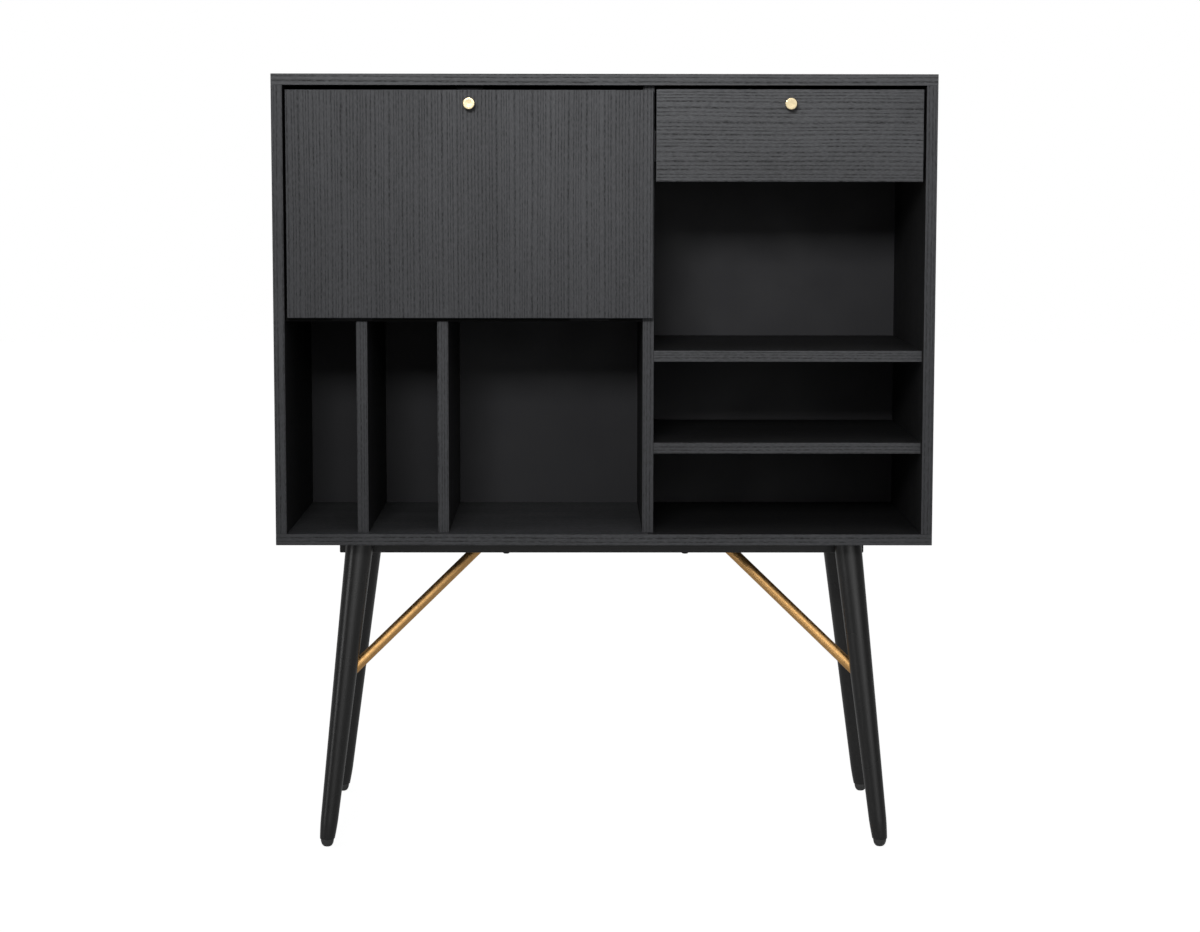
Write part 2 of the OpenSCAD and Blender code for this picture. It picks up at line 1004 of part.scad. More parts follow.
module knob_shape() {
    head_r = knob_d / 2;
    neck_r = knob_neck_d / 2;
    head_z = knob_projection - knob_head_t;
    pointing_front()
        rotate_extrude($fn = 64)
            polygon([
                [0, 0], [neck_r + knob_base_edge, 0], [neck_r + knob_base_edge, knob_base_h],
                [neck_r, knob_base_h], [neck_r, head_z], [head_r, head_z],
                [head_r, knob_projection - knob_rim], [head_r - knob_rim, knob_projection],
                [head_r - 2 * knob_rim, knob_projection], [0, knob_projection - knob_dish]]);
}

// Screw from inside a front into its knob; the head lies behind the front.
module knob_screw_shape(x) {
    translate([x, front_t, knob_z])
        pointing_front()
            pan_screw(knob_screw_d, knob_screw_head_d, knob_screw_head_h, front_t + knob_screw_grip);
}

module knob(x) {
    color(brass)
        in_carcass()
            difference() {
                translate([x, 0, knob_z])
                    knob_shape();
                knob_screw_shape(x);
            }
}

module flap_door() {
    color(wood)
        in_carcass()
            difference() {
                block(flap_left, flap_right, 0, front_t, flap_bottom, flap_top);
                at_hinges() {
                    flap_hinge_notch();
                    flap_hinge_screw_places()
                        fitting_screw();
                }
                knob_screw_shape(flap_middle);
                strike_screw_shape();
                stay_bracket_screws_shape();
            }
}

module flap_knob() {
    knob(flap_middle);
}

module flap_knob_screw() {
    color(steel)
        in_carcass()
            knob_screw_shape(flap_middle);
}

// Every small screw that sits in the flap.
module flap_fitting_screws() {
    color(steel)
        in_carcass() {
            at_hinges()
                flap_hinge_screw_places()
                    fitting_screw();
            strike_screw_shape();
            stay_bracket_screws_shape();
        }
}

// Magnetic catch at the top of the flap

module catch_screws_shape() {
    for (turn = [-1, 1])
        translate([flap_middle + turn * (catch_w / 2 - catch_screw_inset), catch_y + catch_d / 2,
            top_face - catch_h])
            countersunk_screw(fitting_screw_d, fitting_head_d, catch_h + board_t / 2);
}

module catch_magnet_shape() {
    z = top_face - catch_h + catch_magnet_lift;
    block(flap_middle - catch_magnet_w / 2, flap_middle + catch_magnet_w / 2,
        catch_y, catch_y + catch_magnet_d, z, z + catch_magnet_h);
}

module catch_housing() {
    color("dimgray")
        in_carcass()
            difference() {
                block(flap_middle - catch_w / 2, flap_middle + catch_w / 2,
                    catch_y, catch_y + catch_d, top_face - catch_h, top_face);
                catch_magnet_shape();
                catch_screws_shape();
            }
}

module catch_magnet() {
    color(steel)
        in_carcass()
            catch_magnet_shape();
}

module strike_screw_shape() {
    translate([flap_middle, front_t + strike_t, flap_top - strike_drop - strike_h / 2])
        pointing_front()
            fitting_screw();
}

module strike_plate() {
    color(steel)
        in_carcass()
            difference() {
                block(flap_middle - strike_w / 2, flap_middle + strike_w / 2, front_t, front_t + strike_t,
                    flap_top - strike_drop - strike_h, flap_top - strike_drop);
                strike_screw_shape();
            }
}

// Stays: the left one stands on the side panel, the right one on the upright

module at_stays() {
    translate([left_face, 0, 0])
        children();
    translate([upright_left, 0, 0])
        mirror([1, 0, 0])
            children();
}

// Frame of a guide, whose y axis runs along the rod.
module at_guide() {
    translate([0, stay_guide_y, stay_guide_z])
        rotate([stay_tilt, 0, 0])
            children();
}

module across_x(x, diameter, width) {
    translate([x, 0, 0])
        rotate([0, 90, 0])
            cylinder(d = diameter, h = width);
}

module stay_plate_screw_places() {
    for (z = [-stay_plate_screw_z, stay_plate_screw_z])
        translate([stay_plate_t, stay_guide_y, stay_guide_z + z])
            rotate([0, -90, 0])
                children();
}

module stay_plate_screws_shape() {
    at_stays()
        stay_plate_screw_places()
            fitting_screw();
}

module stay_guide_plates() {
    color(steel)
        in_carcass()
            at_stays()
                difference() {
                    union() {
                        translate([0, stay_guide_y - stay_plate_w / 2, stay_guide_z - stay_plate_h / 2])
                            cube([stay_plate_t, stay_plate_w, stay_plate_h]);
                        translate([0, stay_guide_y, stay_guide_z])
                            across_x(stay_plate_t, stay_pivot_d, stay_pivot_len);
                    }
                    stay_plate_screw_places()
                        fitting_screw();
                }
}

module stay_guide_blocks() {
    start = stay_plate_t + stay_play;
    color("gainsboro")
        in_carcass()
            at_stays()
                at_guide()
                    difference() {
                        translate([start, -stay_block_len / 2, -stay_block_h / 2])
                            cube([stay_block_w, stay_block_len, stay_block_h]);
                        across_x(start, stay_pivot_d + 2 * stay_pin_play, stay_pivot_len);
                        translate([stay_offset, -stay_block_len / 2, 0])
                            pointing_back()
                                cylinder(d = stay_rod_d + 2 * stay_play, h = stay_block_len);
                    }
}

module stay_rods() {
    rod_end = stay_collar_at + stay_collar_len;
    color(steel)
        in_carcass()
            at_stays()
                translate([stay_offset, stay_eye_y, stay_eye_z])
                    rotate([stay_tilt, 0, 0])
                        difference() {
                            union() {
                                across_x(-stay_eye_t / 2, 2 * stay_eye_r, stay_eye_t);
                                translate([0, stay_pin_d, 0])
                                    pointing_back()
                                        cylinder(d = stay_rod_d, h = rod_end - stay_pin_d);
                                translate([0, stay_collar_at, 0])
                                    pointing_back()
                                        cylinder(d = stay_collar_d, h = stay_collar_len);
                            }
                            across_x(-stay_eye_t, stay_pin_d + 2 * stay_pin_play, 2 * stay_eye_t);
                        }
}

module stay_bracket_screw_places() {
    for (z = [-stay_bracket_screw_z, stay_bracket_screw_z])
        translate([stay_offset, front_t + stay_plate_t, stay_eye_z + z])
            pointing_front()
                children();
}

module stay_bracket_screws_shape() {
    at_stays()
        stay_bracket_screw_places()
            fitting_screw();
}

module stay_brackets() {
    lug_x = stay_offset + stay_eye_t / 2 + stay_play;
    pin_x = stay_offset - stay_eye_t / 2 - stay_play;
    color(steel)
        in_carcass()
            at_stays()
                difference() {
                    union() {
                        block(stay_offset - stay_bracket_edge, lug_x + stay_lug_t,
                            front_t, front_t + stay_plate_t,
                            stay_eye_z - stay_bracket_h / 2, stay_eye_z + stay_bracket_h / 2);
                        block(lug_x, lug_x + stay_lug_t, front_t, stay_eye_y,
                            stay_eye_z - stay_eye_r, stay_eye_z + stay_eye_r);
                        translate([0, stay_eye_y, stay_eye_z]) {
                            across_x(lug_x, 2 * stay_eye_r, stay_lug_t);
                            across_x(pin_x, stay_pin_d, lug_x - pin_x);
                            across_x(pin_x - stay_pin_head_t, stay_pin_head_d, stay_pin_head_t);
                        }
                    }
                    stay_bracket_screw_places()
                        fitting_screw();
                }
}

// Every small screw that sits in the carcass.
module cabinet_fitting_screws() {
    color(steel)
        in_carcass() {
            floor_hinge_screws_shape();
            stay_plate_screws_shape();
        }
}

module catch_screws() {
    color(steel)
        in_carcass()
            catch_screws_shape();
}

// Drawer

module drawer_front_screws_shape() {
    for (x = [box_left + box_screw_inset, box_right - box_screw_inset])
        for (z = box_screw_z)
            translate([x, box_front_y + box_wall_t, z])
                pointing_front()
                    countersunk_screw(box_screw_d, box_screw_head_d, box_screw_len);
}

// Dowels through a box side into the wall that meets it.
module drawer_dowels_shape() {
    for (y = [box_front_y + box_wall_t / 2, box_back_y - box_wall_t / 2])
        for (z = box_dowel_z) {
            translate([box_left + box_wall_t - box_dowel_seat, y, z])
                rotate([0, 90, 0])
                    cylinder(d = box_dowel_d, h = box_dowel_seat + box_dowel_grip);
            translate([box_right - box_wall_t - box_dowel_grip, y, z])
                rotate([0, 90, 0])
                    cylinder(d = box_dowel_d, h = box_dowel_seat + box_dowel_grip);
        }
}

module drawer_bottom_shape() {
    block(box_left + box_wall_t - box_groove, box_right - box_wall_t + box_groove,
        box_front_y + box_wall_t - box_groove, box_back_y,
        box_bottom_z, box_bottom_z + box_bottom_t);
}

module drawer_front() {
    color(wood)
        in_carcass()
            difference() {
                block(drawer_left, drawer_right, 0, front_t, drawer_bottom_z, drawer_top);
                knob_screw_shape(drawer_middle);
                drawer_front_screws_shape();
            }
}

module drawer_box_front() {
    color("tan")
        in_carcass()
            difference() {
                block(box_left + box_wall_t, box_right - box_wall_t, box_front_y, box_front_y + box_wall_t,
                    box_z, box_z + box_h);
                drawer_bottom_shape();
                drawer_dowels_shape();
                drawer_front_screws_shape();
            }
}

module drawer_side(x0) {
    color("tan")
        in_carcass()
            difference() {
                block(x0, x0 + box_wall_t, box_front_y, box_back_y, box_z, box_z + box_h);
                drawer_bottom_shape();
                drawer_dowels_shape();
                runner_drawer_screws_shape();
            }
}

module drawer_left_side() {
    drawer_side(box_left);
}

module drawer_right_side() {
    drawer_side(box_right - box_wall_t);
}

module drawer_back() {
    color("tan")
        in_carcass()
            difference() {
                block(box_left + box_wall_t, box_right - box_wall_t, box_back_y - box_wall_t, box_back_y,
                    box_bottom_z + box_bottom_t, box_z + box_h);
                drawer_dowels_shape();
            }
}

module drawer_bottom() {
    color("tan")
        in_carcass()
            drawer_bottom_shape();
}

module drawer_dowels() {
    color("burlywood")
        in_carcass()
            drawer_dowels_shape();
}

module drawer_front_screws() {
    color(steel)
        in_carcass()
            drawer_front_screws_shape();
}

module drawer_knob() {
    knob(drawer_middle);
}

module drawer_knob_screw() {
    color(steel)
        in_carcass()
            knob_screw_shape(drawer_middle);
}

// Runners: each is drawn standing on the board to its left and mirrored for the other side

module at_runners() {
    translate([upright_right, runner_y, runner_z])
        children();
    translate([right_face, runner_y, runner_z])
        mirror([1, 0, 0])
            children();
}

// Channel with its web between x0 and x0 + sheet and flanges that reach to x1.
module channel(x0, x1, height, web_x) {
    for (z = [-height / 2, height / 2 - runner_sheet])
        translate([x0, 0, z])
            cube([x1 - x0, runner_len, runner_sheet]);
    translate([web_x, 0, -height / 2])
        cube([runner_sheet, runner_len, height]);
}

module runner_cabinet_screw_places() {
    for (y = runner_screw_y)
        translate([runner_sheet, y, 0])
            rotate([0, -90, 0])
                children();
}

module runner_drawer_screw_places() {
    for (y = runner_screw_y)
        translate([runner_room - runner_sheet, y, 0])
            rotate([0, 90, 0])
                children();
}

module runner_screw() {
    pan_screw(fitting_screw_d, runner_head_d, runner_head_h, runner_sheet + runner_screw_grip);
}

module runner_cabinet_screws_shape() {
    at_runners()
        runner_cabinet_screw_places()
            runner_screw();
}

module runner_drawer_screws_shape() {
    at_runners()
        runner_drawer_screw_places()
            runner_screw();
}

module runner_cabinet_members() {
    color(steel)
        in_carcass()
            at_runners()
                difference() {
                    channel(0, runner_flange_reach, runner_h, 0);
                    runner_cabinet_screw_places()
                        runner_screw();
                }
}

module runner_middle_members() {
    color(steel)
        in_carcass()
            at_runners()
                channel(runner_middle_x, runner_flange_reach, runner_middle_h, runner_middle_x);
}

module runner_drawer_members() {
    color(steel)
        in_carcass()
            at_runners()
                difference() {
                    channel(runner_inner_x, runner_room, runner_inner_h, runner_room - runner_sheet);
                    runner_drawer_screw_places()
                        runner_screw();
                }
}

module runner_cabinet_screws() {
    color(steel)
        in_carcass()
            runner_cabinet_screws_shape();
}

module runner_drawer_screws() {
    color(steel)
        in_carcass()
            runner_drawer_screws_shape();
}

top_board();
bottom_board();
left_side_panel();
right_side_panel();
back_panel();
middle_upright();
compartment_floor();
outer_divider();
inner_divider();
upper_shelf();
lower_shelf();
carcass_dowels();
divider_dowels();
shelf_dowels();
front_left_leg();
front_right_leg();
rear_left_leg();
rear_right_leg();
leg_inserts();
leg_bolts();
leg_side_screws();
foot_glides();
front_rail();
rear_rail();
rail_screws();
left_brace();
right_brace();
brace_screws();
floor_hinge_leaves();
hinge_pins();
flap_hinge_leaves();
flap_door();
flap_knob();
flap_knob_screw();
flap_fitting_screws();
catch_housing();
catch_magnet();
catch_screws();
strike_plate();
stay_guide_plates();
stay_guide_blocks();
stay_rods();
stay_brackets();
cabinet_fitting_screws();
drawer_front();
drawer_box_front();
drawer_left_side();
drawer_right_side();
drawer_back();
drawer_bottom();
drawer_dowels();
drawer_front_screws();
drawer_knob();
drawer_knob_screw();
runner_cabinet_members();
runner_middle_members();
runner_drawer_members();
runner_cabinet_screws();
runner_drawer_screws();
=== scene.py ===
"""Looks of the tall sideboard: its boards, underframe and fittings, their finishes, and the studio.

Everything is in metres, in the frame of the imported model: +X is the viewer's right, the front
faces -Y, +Z is up, and z = 0 is the floor.
"""

import logging
import math
from dataclasses import dataclass, field
from enum import Enum, IntEnum
from typing import Any, Iterable, Sequence

import bmesh
import bpy
from mathutils import Matrix, Vector


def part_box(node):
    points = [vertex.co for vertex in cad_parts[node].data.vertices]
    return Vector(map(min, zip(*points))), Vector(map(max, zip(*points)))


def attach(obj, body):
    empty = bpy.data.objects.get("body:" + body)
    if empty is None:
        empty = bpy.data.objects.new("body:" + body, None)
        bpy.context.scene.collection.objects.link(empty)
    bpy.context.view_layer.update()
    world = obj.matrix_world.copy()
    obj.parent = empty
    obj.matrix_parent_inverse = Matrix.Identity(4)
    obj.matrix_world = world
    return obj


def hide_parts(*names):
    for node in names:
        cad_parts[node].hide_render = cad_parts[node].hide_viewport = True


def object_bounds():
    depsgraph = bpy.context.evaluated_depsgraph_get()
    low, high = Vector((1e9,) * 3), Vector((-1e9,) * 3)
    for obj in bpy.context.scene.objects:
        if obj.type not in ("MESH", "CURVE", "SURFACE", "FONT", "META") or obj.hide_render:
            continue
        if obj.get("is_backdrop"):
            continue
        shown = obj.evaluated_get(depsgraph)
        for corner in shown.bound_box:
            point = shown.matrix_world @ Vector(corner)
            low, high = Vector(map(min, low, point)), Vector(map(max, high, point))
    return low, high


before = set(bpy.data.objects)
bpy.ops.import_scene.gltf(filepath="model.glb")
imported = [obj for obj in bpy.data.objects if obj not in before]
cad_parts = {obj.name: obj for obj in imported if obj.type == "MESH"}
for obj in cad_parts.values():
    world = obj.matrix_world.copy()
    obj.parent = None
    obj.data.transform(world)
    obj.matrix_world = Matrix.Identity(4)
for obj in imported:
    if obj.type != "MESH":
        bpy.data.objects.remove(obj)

MM = 0.001
GRAIN = "grain"
EDGE = "edge"
UP = Vector((0.0, 0.0, 1.0))
WOOD_SHARP = 60.0
WHITE = (1.0, 1.0, 1.0)

Piece = bpy.types.Object
Socket = bpy.types.NodeSocket
Box = tuple[Vector, Vector]
Colour = tuple[float, float, float]
Point = tuple[float, float]

log = logging.getLogger("sideboard")


class Axis(IntEnum):
    """Direction along which a board lies or its fibres run."""

    X = 0
    Y = 1
    Z = 2


class Body(Enum):
    """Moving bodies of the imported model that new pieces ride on."""

    CARCASS = "carcass"
    FLAP = "flap"
    DRAWER = "drawer"


class Source(Enum):
    """Where a wood finish takes its grain coordinates from."""

    BOARD = "board"
    SPACE = "space"


# Mesh helpers


def new_piece(name: str, points: Iterable[Sequence[float]], faces: Iterable[Sequence[int]]) -> Piece:
    """Makes a mesh object from points and faces.

    Args:
        name: Name of the new piece.
        points: Its corners.
        faces: Corner numbers of each face.

    Returns:
        The new object, linked to the scene.
    """
    mesh = bpy.data.meshes.new(name)
    mesh.from_pydata([tuple(point) for point in points], [], [tuple(face) for face in faces])
    mesh.validate()
    piece = bpy.data.objects.new(name, mesh)
    bpy.context.scene.collection.objects.link(piece)
    return piece


def slab(name: str, low: Vector, high: Vector) -> Piece:
    """Makes a plain block, from which boards and cutters are made.

    Args:
        name: Name of the block.
        low: Its lowest corner.
        high: Its highest corner.

    Returns:
        The block.
    """
    points = [(x, y, z) for x in (low.x, high.x) for y in (low.y, high.y) for z in (low.z, high.z)]
    faces = [(0, 1, 3, 2), (4, 6, 7, 5), (0, 4, 5, 1), (2, 3, 7, 6), (0, 2, 6, 4), (1, 5, 7, 3)]
    return new_piece(name, points, faces)


def freeze(piece: Piece) -> None:
    """Turns the piece's modifiers into plain mesh.

    Args:
        piece: The piece, whose mesh is replaced by the modified one.
    """
    bpy.context.view_layer.update()
    shown = piece.evaluated_get(bpy.context.evaluated_depsgraph_get())
    mesh = bpy.data.meshes.new_from_object(shown)
    mesh.name = piece.name
    piece.modifiers.clear()
    piece.data = mesh


def soften(piece: Piece, radius: float, segments: int) -> None:
    """Rounds every sharp edge of a piece and marks the rounded faces.

    Args:
        piece: The piece.
        radius: Radius of the rounding.
        segments: Faces across the rounding.
    """
    for _ in range(2):
        piece.data.materials.append(None)
    bevel = piece.modifiers.new("Rounding", "BEVEL")
    bevel.width = radius
    bevel.segments = segments
    bevel.limit_method = "ANGLE"
    bevel.material = 1
    freeze(piece)


def cut(piece: Piece, cutters: Sequence[Piece]) -> None:
    """Takes the room of some cutters out of a piece, and removes the cutters.

    Args:
        piece: The piece to cut.
        cutters: Closed meshes that mark the room.
    """
    for cutter in cutters:
        room = piece.modifiers.new("Room", "BOOLEAN")
        room.operation = "DIFFERENCE"
        room.solver = "EXACT"
        room.object = cutter
        freeze(piece)
        bpy.data.objects.remove(cutter)


def split(piece: Piece, place: Vector, way: Vector, crop: bool = False) -> None:
    """Parts the faces of a piece along a plane, which leaves its shape, or crops it there.

    Args:
        piece: The piece.
        place: A point of the plane.
        way: Direction across the plane.
        crop: Whether what lies beyond the plane is taken off, and the opening closed.
    """
    shell = bmesh.new()
    shell.from_mesh(piece.data)
    everything = [*shell.verts, *shell.edges, *shell.faces]
    bmesh.ops.bisect_plane(shell, geom=everything, plane_co=place, plane_no=way, clear_outer=crop)
    if crop:
        bmesh.ops.holes_fill(shell, edges=shell.edges)
    shell.to_mesh(piece.data)
    shell.free()


def even_shading(piece: Piece, sharp_from: float = 35.0) -> None:
    """Shades rounded faces smoothly and keeps the flat ones flat.

    Args:
        piece: The piece.
        sharp_from: Angle in degrees from which an edge stays sharp.
    """
    piece.data.shade_smooth()
    piece.data.set_sharp_from_angle(angle=math.radians(sharp_from))
    weighted = piece.modifiers.new("Even shading", "WEIGHTED_NORMAL")
    weighted.keep_sharp = True
    weighted.weight = 100
    freeze(piece)


def mark_edges(piece: Piece) -> None:
    """Writes which faces are rounded edges, from their material number, for the wear and painted sheen
    there.

    Args:
        piece: A softened piece, which keeps a single material slot.
    """
    mesh = piece.data
    layer = mesh.attributes.new(EDGE, "FLOAT", "CORNER")
    marks = [0.0] * len(mesh.loops)
    for face in mesh.polygons:
        for loop in face.loop_indices:
            marks[loop] = float(face.material_index == 1)
        face.material_index = 0
    layer.data.foreach_set("value", marks)
    mesh.materials.clear()


def lay_grain(piece: Piece, fibres: Axis, thickness: Axis, shift: float) -> None:
    """Writes grain coordinates, so that fibres run along the board and along its edge bands.

    Args:
        piece: The board.
        fibres: Direction of the fibres on its faces.
        thickness: Direction through the board.
        shift: Offset that gives each board its own figure.
    """
    facing_step = 0.31
    back_step = 0.17
    mesh = piece.data
    width = Axis(sum(Axis) - fibres - thickness)
    layout = {thickness: (width, fibres), width: (thickness, fibres), fibres: (thickness, width)}
    layer = mesh.attributes.new(GRAIN, "FLOAT_VECTOR", "CORNER")
    values = [0.0] * (3 * len(mesh.loops))
    for face in mesh.polygons:
        facing = max(Axis, key=lambda axis: abs(face.normal[axis]))
        across, along = layout[facing]
        side = shift + facing_step * facing + back_step * (face.normal[facing] > 0)
        for loop in face.loop_indices:
            point = mesh.vertices[mesh.loops[loop].vertex_index].co
            values[3 * loop:3 * loop + 3] = (point[across], side, point[along])
    layer.data.foreach_set("vector", values)


def rounded_path(corners: Sequence[Point], radii: Sequence[float], steps: int = 5) -> list[Point]:
    """Rounds the corners of a path in the plane.

    Args:
        corners: The path's corners.
        radii: Radius at each corner, 0 for a sharp one and at both ends.
        steps: Points on each rounding.

    Returns:
        The rounded path.
    """
    path: list[Point] = []
    for index, (corner, radius) in enumerate(zip(corners, radii)):
        if radius == 0:
            path.append(corner)
            continue
        here = Vector(corner)
        back = (Vector(corners[index - 1]) - here).normalized()
        ahead = (Vector(corners[index + 1]) - here).normalized()
        half_angle = back.angle(ahead) / 2
        reach = radius / math.tan(half_angle)
        middle = here + (back + ahead).normalized() * (radius / math.sin(half_angle))
        start = here + back * reach - middle
        turn = math.pi - 2 * half_angle
        side = math.copysign(1, start.x * ahead.y - start.y * ahead.x)
        for step in range(steps + 1):
            spun = Matrix.Rotation(side * turn * step / steps, 2) @ start
            path.append(tuple(middle + spun))
    return path


def full_turn(count: int) -> list[float]:
    """Returns angles that are spread evenly over a full turn."""
    return [2 * math.pi * spot / count for spot in range(count)]


def skin(name: str, rings: Sequence[Sequence[Vector]]) -> Piece:
    """Joins rings of points into a closed skin, with a flat cap at each end.

    Args:
        name: Name of the new piece.
        rings: Rings with the same number of points, in order.

    Returns:
        The new piece.
    """
    count = len(rings[0])
    points = [point for ring in rings for point in ring]
    faces: list[tuple[int, ...]] = [tuple(reversed(range(count)))]
    for first in range(0, len(points) - count, count):
        second = first + count
        for spot in range(count):
            after = (spot + 1) % count
            faces.append((first + spot, first + after, second + after, second + spot))
    faces.append(tuple(range(len(points) - count, len(points))))
    return new_piece(name, points, faces)


def turned(name: str, path: Sequence[Point], place: Matrix, count: int = 48) -> Piece:
    """Turns a path round an axis, as on a lathe.

    Args:
        name: Name of the new piece.
        path: (radius, height) points from the foot of the axis to its head, off the axis.
        place: Where the axis stands; the path's height runs along its z.
        count: Points round the axis.

    Returns:
        The new piece.
    """
    angles = full_turn(count)
    rings = [[place @ Vector((radius * math.cos(a), radius * math.sin(a), height)) for a in angles]
             for radius, height in path]
    piece = skin(name, rings)
    even_shading(piece)
    return piece


def joined(name: str, parts: Sequence[Piece]) -> Piece:
    """Joins several meshes into one piece.

    Args:
        name: Name of the joined piece.
        parts: The meshes, which are removed.

    Returns:
        The joined piece.
    """
    points: list[Vector] = []
    faces: list[tuple[int, ...]] = []
    for single in parts:
        start = len(points)
        points.extend(vert.co.copy() for vert in single.data.vertices)
        faces.extend(tuple(start + vert for vert in face.vertices) for face in single.data.polygons)
        bpy.data.objects.remove(single)
    piece = new_piece(name, points, faces)
    even_shading(piece)
    return piece


def axis_place(origin: Vector, direction: Vector) -> Matrix:
    """Returns the place at an origin whose z axis points along a direction."""
    return Matrix.Translation(origin) @ direction.to_track_quat("Z", "Y").to_matrix().to_4x4()


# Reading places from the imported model


def box_of(points: Iterable[Vector]) -> Box:
    """Returns the lowest and highest corner of some points."""
    columns = list(zip(*points))
    return Vector([min(column) for column in columns]), Vector([max(column) for column in columns])


def solids(node: str) -> list[Box]:
    """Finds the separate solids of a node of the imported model.

    Args:
        node: Name of the node.

    Returns:
        The lowest and highest corner of each solid, from left to right.
    """
    same_place = 0.01 * MM
    shell = bmesh.new()
    shell.from_mesh(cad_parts[node].data)
    bmesh.ops.remove_doubles(shell, verts=shell.verts, dist=same_place)
    waiting = set(shell.verts)
    boxes = []
    while waiting:
        group = [waiting.pop()]
        for vert in group:
            others = {edge.other_vert(vert) for edge in vert.link_edges} & waiting
            waiting -= others
            group.extend(others)
        boxes.append(box_of(vert.co for vert in group))
    shell.free()
    return sorted(boxes, key=lambda box: (round(box[0].x, 4), round(box[0].y, 4)))


def level_box(node: str, level: float) -> Box:
    """Measures a node's corners at one height.

    Args:
        node: Name of the node.
        level: The height.

    Returns:
        The lowest and highest corner of the vertices there.
    """
    near = 0.05 * MM
    points = [vert.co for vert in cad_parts[node].data.vertices]
    return box_of(point for point in points if abs(point.z - level) < near)


# Shader nodes


class Tree:
    """Short hand for placing nodes in a node tree and joining them."""

    def __init__(self, tree: bpy.types.NodeTree) -> None:
        """Keeps the tree that the nodes go into."""
        self.tree = tree

    def add(self, kind: str, inputs: dict[str | int, Any] | None = None, **settings: Any) -> bpy.types.Node:
        """Places a node.

        Args:
            kind: The node's type name after "ShaderNode".
            inputs: Values or sockets for its inputs.
            **settings: Other properties of the node.

        Returns:
            The new node.
        """
        node = self.tree.nodes.new("ShaderNode" + kind)
        for name, value in settings.items():
            setattr(node, name, value)
        for name, value in (inputs or {}).items():
            self.feed(node.inputs[name], value)
        return node

    def feed(self, socket: Socket, value: Any) -> None:
        """Joins a socket to another one, or gives it a fixed value.

        Args:
            socket: The input.
            value: An output socket, a number, a colour or a vector.
        """
        if isinstance(value, Socket):
            self.tree.links.new(value, socket)
        elif isinstance(value, tuple) and socket.type == "RGBA":
            socket.default_value = (*value, 1.0)
        else:
            socket.default_value = value

    def math(self, operation: str, *values: Any) -> Socket:
        """Returns the socket of a calculation with some operands."""
        return self.add("Math", dict(enumerate(values)), operation=operation).outputs[0]

    def plus(self, first: Any, second: Any) -> Socket:
        """Returns the socket of a sum."""
        return self.math("ADD", first, second)

    def times(self, first: Any, second: Any) -> Socket:
        """Returns the socket of a product."""
        return self.math("MULTIPLY", first, second)

    def swing(self, value: Any, width: Any) -> Socket:
        """Returns the socket of a number from 0 to 1, moved to swing round 0 over a width."""
        return self.times(self.math("SUBTRACT", value, 0.5), width)

    def spread(self, value: Any, low: float, high: float, to_low: float = 0.0,
               to_high: float = 1.0) -> Socket:
        """Returns the socket of a number that is mapped to another range and kept inside it."""
        inputs = {"Value": value, "From Min": low, "From Max": high, "To Min": to_low, "To Max": to_high}
        return self.add("MapRange", inputs, clamp=True).outputs["Result"]

    def blend(self, share: Any, first: Any, second: Any) -> Socket:
        """Returns the socket of a mix of two colours, with the second one's share."""
        return self.add("Mix", {0: share, 6: first, 7: second}, data_type="RGBA").outputs[2]

    def vector(self, x: Any, y: Any, z: Any) -> Socket:
        """Returns the socket of a vector made of three numbers."""
        return self.add("CombineXYZ", {"X": x, "Y": y, "Z": z}).outputs[0]

    def stretched(self, vector: Any, by: Any) -> Socket:
        """Returns the socket of a vector multiplied by another one, number by number."""
        return self.add("VectorMath", {0: vector, 1: by}, operation="MULTIPLY").outputs[0]

    def noise(self, vector: Any, scale: Any = 1.0, detail: float = 0.0) -> Socket:
        """Returns the socket of a noise, with its spots per unit and the finer layers on top."""
        return self.add("TexNoise", {"Vector": vector, "Scale": scale, "Detail": detail}).outputs[0]

    def space(self) -> Socket:
        """Returns the socket of the place in the piece's own space."""
        return self.add("TexCoord").outputs["Object"]

    def attribute(self, name: str, output: str) -> Socket:
        """Returns the socket of values that the mesh carries."""
        return self.add("Attribute", attribute_name=name).outputs[output]

    def effect(self, kind: "type[Effect]", inputs: dict[str, Any]) -> bpy.types.NodeOutputs:
        """Places a shared effect with its own values and returns its outputs."""
        return self.add("Group", inputs, node_tree=kind.shared()).outputs


def bare_tree(owner: bpy.types.Material | bpy.types.World) -> Tree:
    """Gives a material or a world an empty node tree.

    Args:
        owner: The material or world.

    Returns:
        Its tree.
    """
    owner.use_nodes = True
    owner.node_tree.nodes.clear()
    return Tree(owner.node_tree)


class Effect(Tree):
    """A shared shader effect: a node group with named inputs and outputs.

    Attributes:
        title: Name of the group.
        vectors: Names of its inputs that are vectors.
        numbers: Names of its inputs that are numbers, with their first values.
        outputs: Names of its outputs, which are numbers.
    """

    title = "Effect"
    vectors: tuple[str, ...] = ("Place",)
    numbers: dict[str, float] = {}
    outputs: tuple[str, ...] = ()

    def __init__(self) -> None:
        """Makes the group, with its inputs, its nodes and its outputs."""
        super().__init__(bpy.data.node_groups.new(self.title, "ShaderNodeTree"))
        face = self.tree.interface
        for name in self.vectors:
            face.new_socket(name, in_out="INPUT", socket_type="NodeSocketVector")
        for name, value in self.numbers.items():
            face.new_socket(name, in_out="INPUT", socket_type="NodeSocketFloat").default_value = value
        for name in self.outputs:
            face.new_socket(name, in_out="OUTPUT", socket_type="NodeSocketFloat")
        self.given = self.tree.nodes.new("NodeGroupInput").outputs
        leave = self.tree.nodes.new("NodeGroupOutput")
        for name, socket in self.wire().items():
            self.feed(leave.inputs[name], socket)

    @classmethod
    def shared(cls) -> bpy.types.NodeTree:
        """Returns the effect's group, which is made the first time it is asked for."""
        return bpy.data.node_groups.get(cls.title) or cls().tree

    def wire(self) -> dict[str, Socket]:
        """Places the effect's nodes and returns the socket of each output."""
        raise NotImplementedError


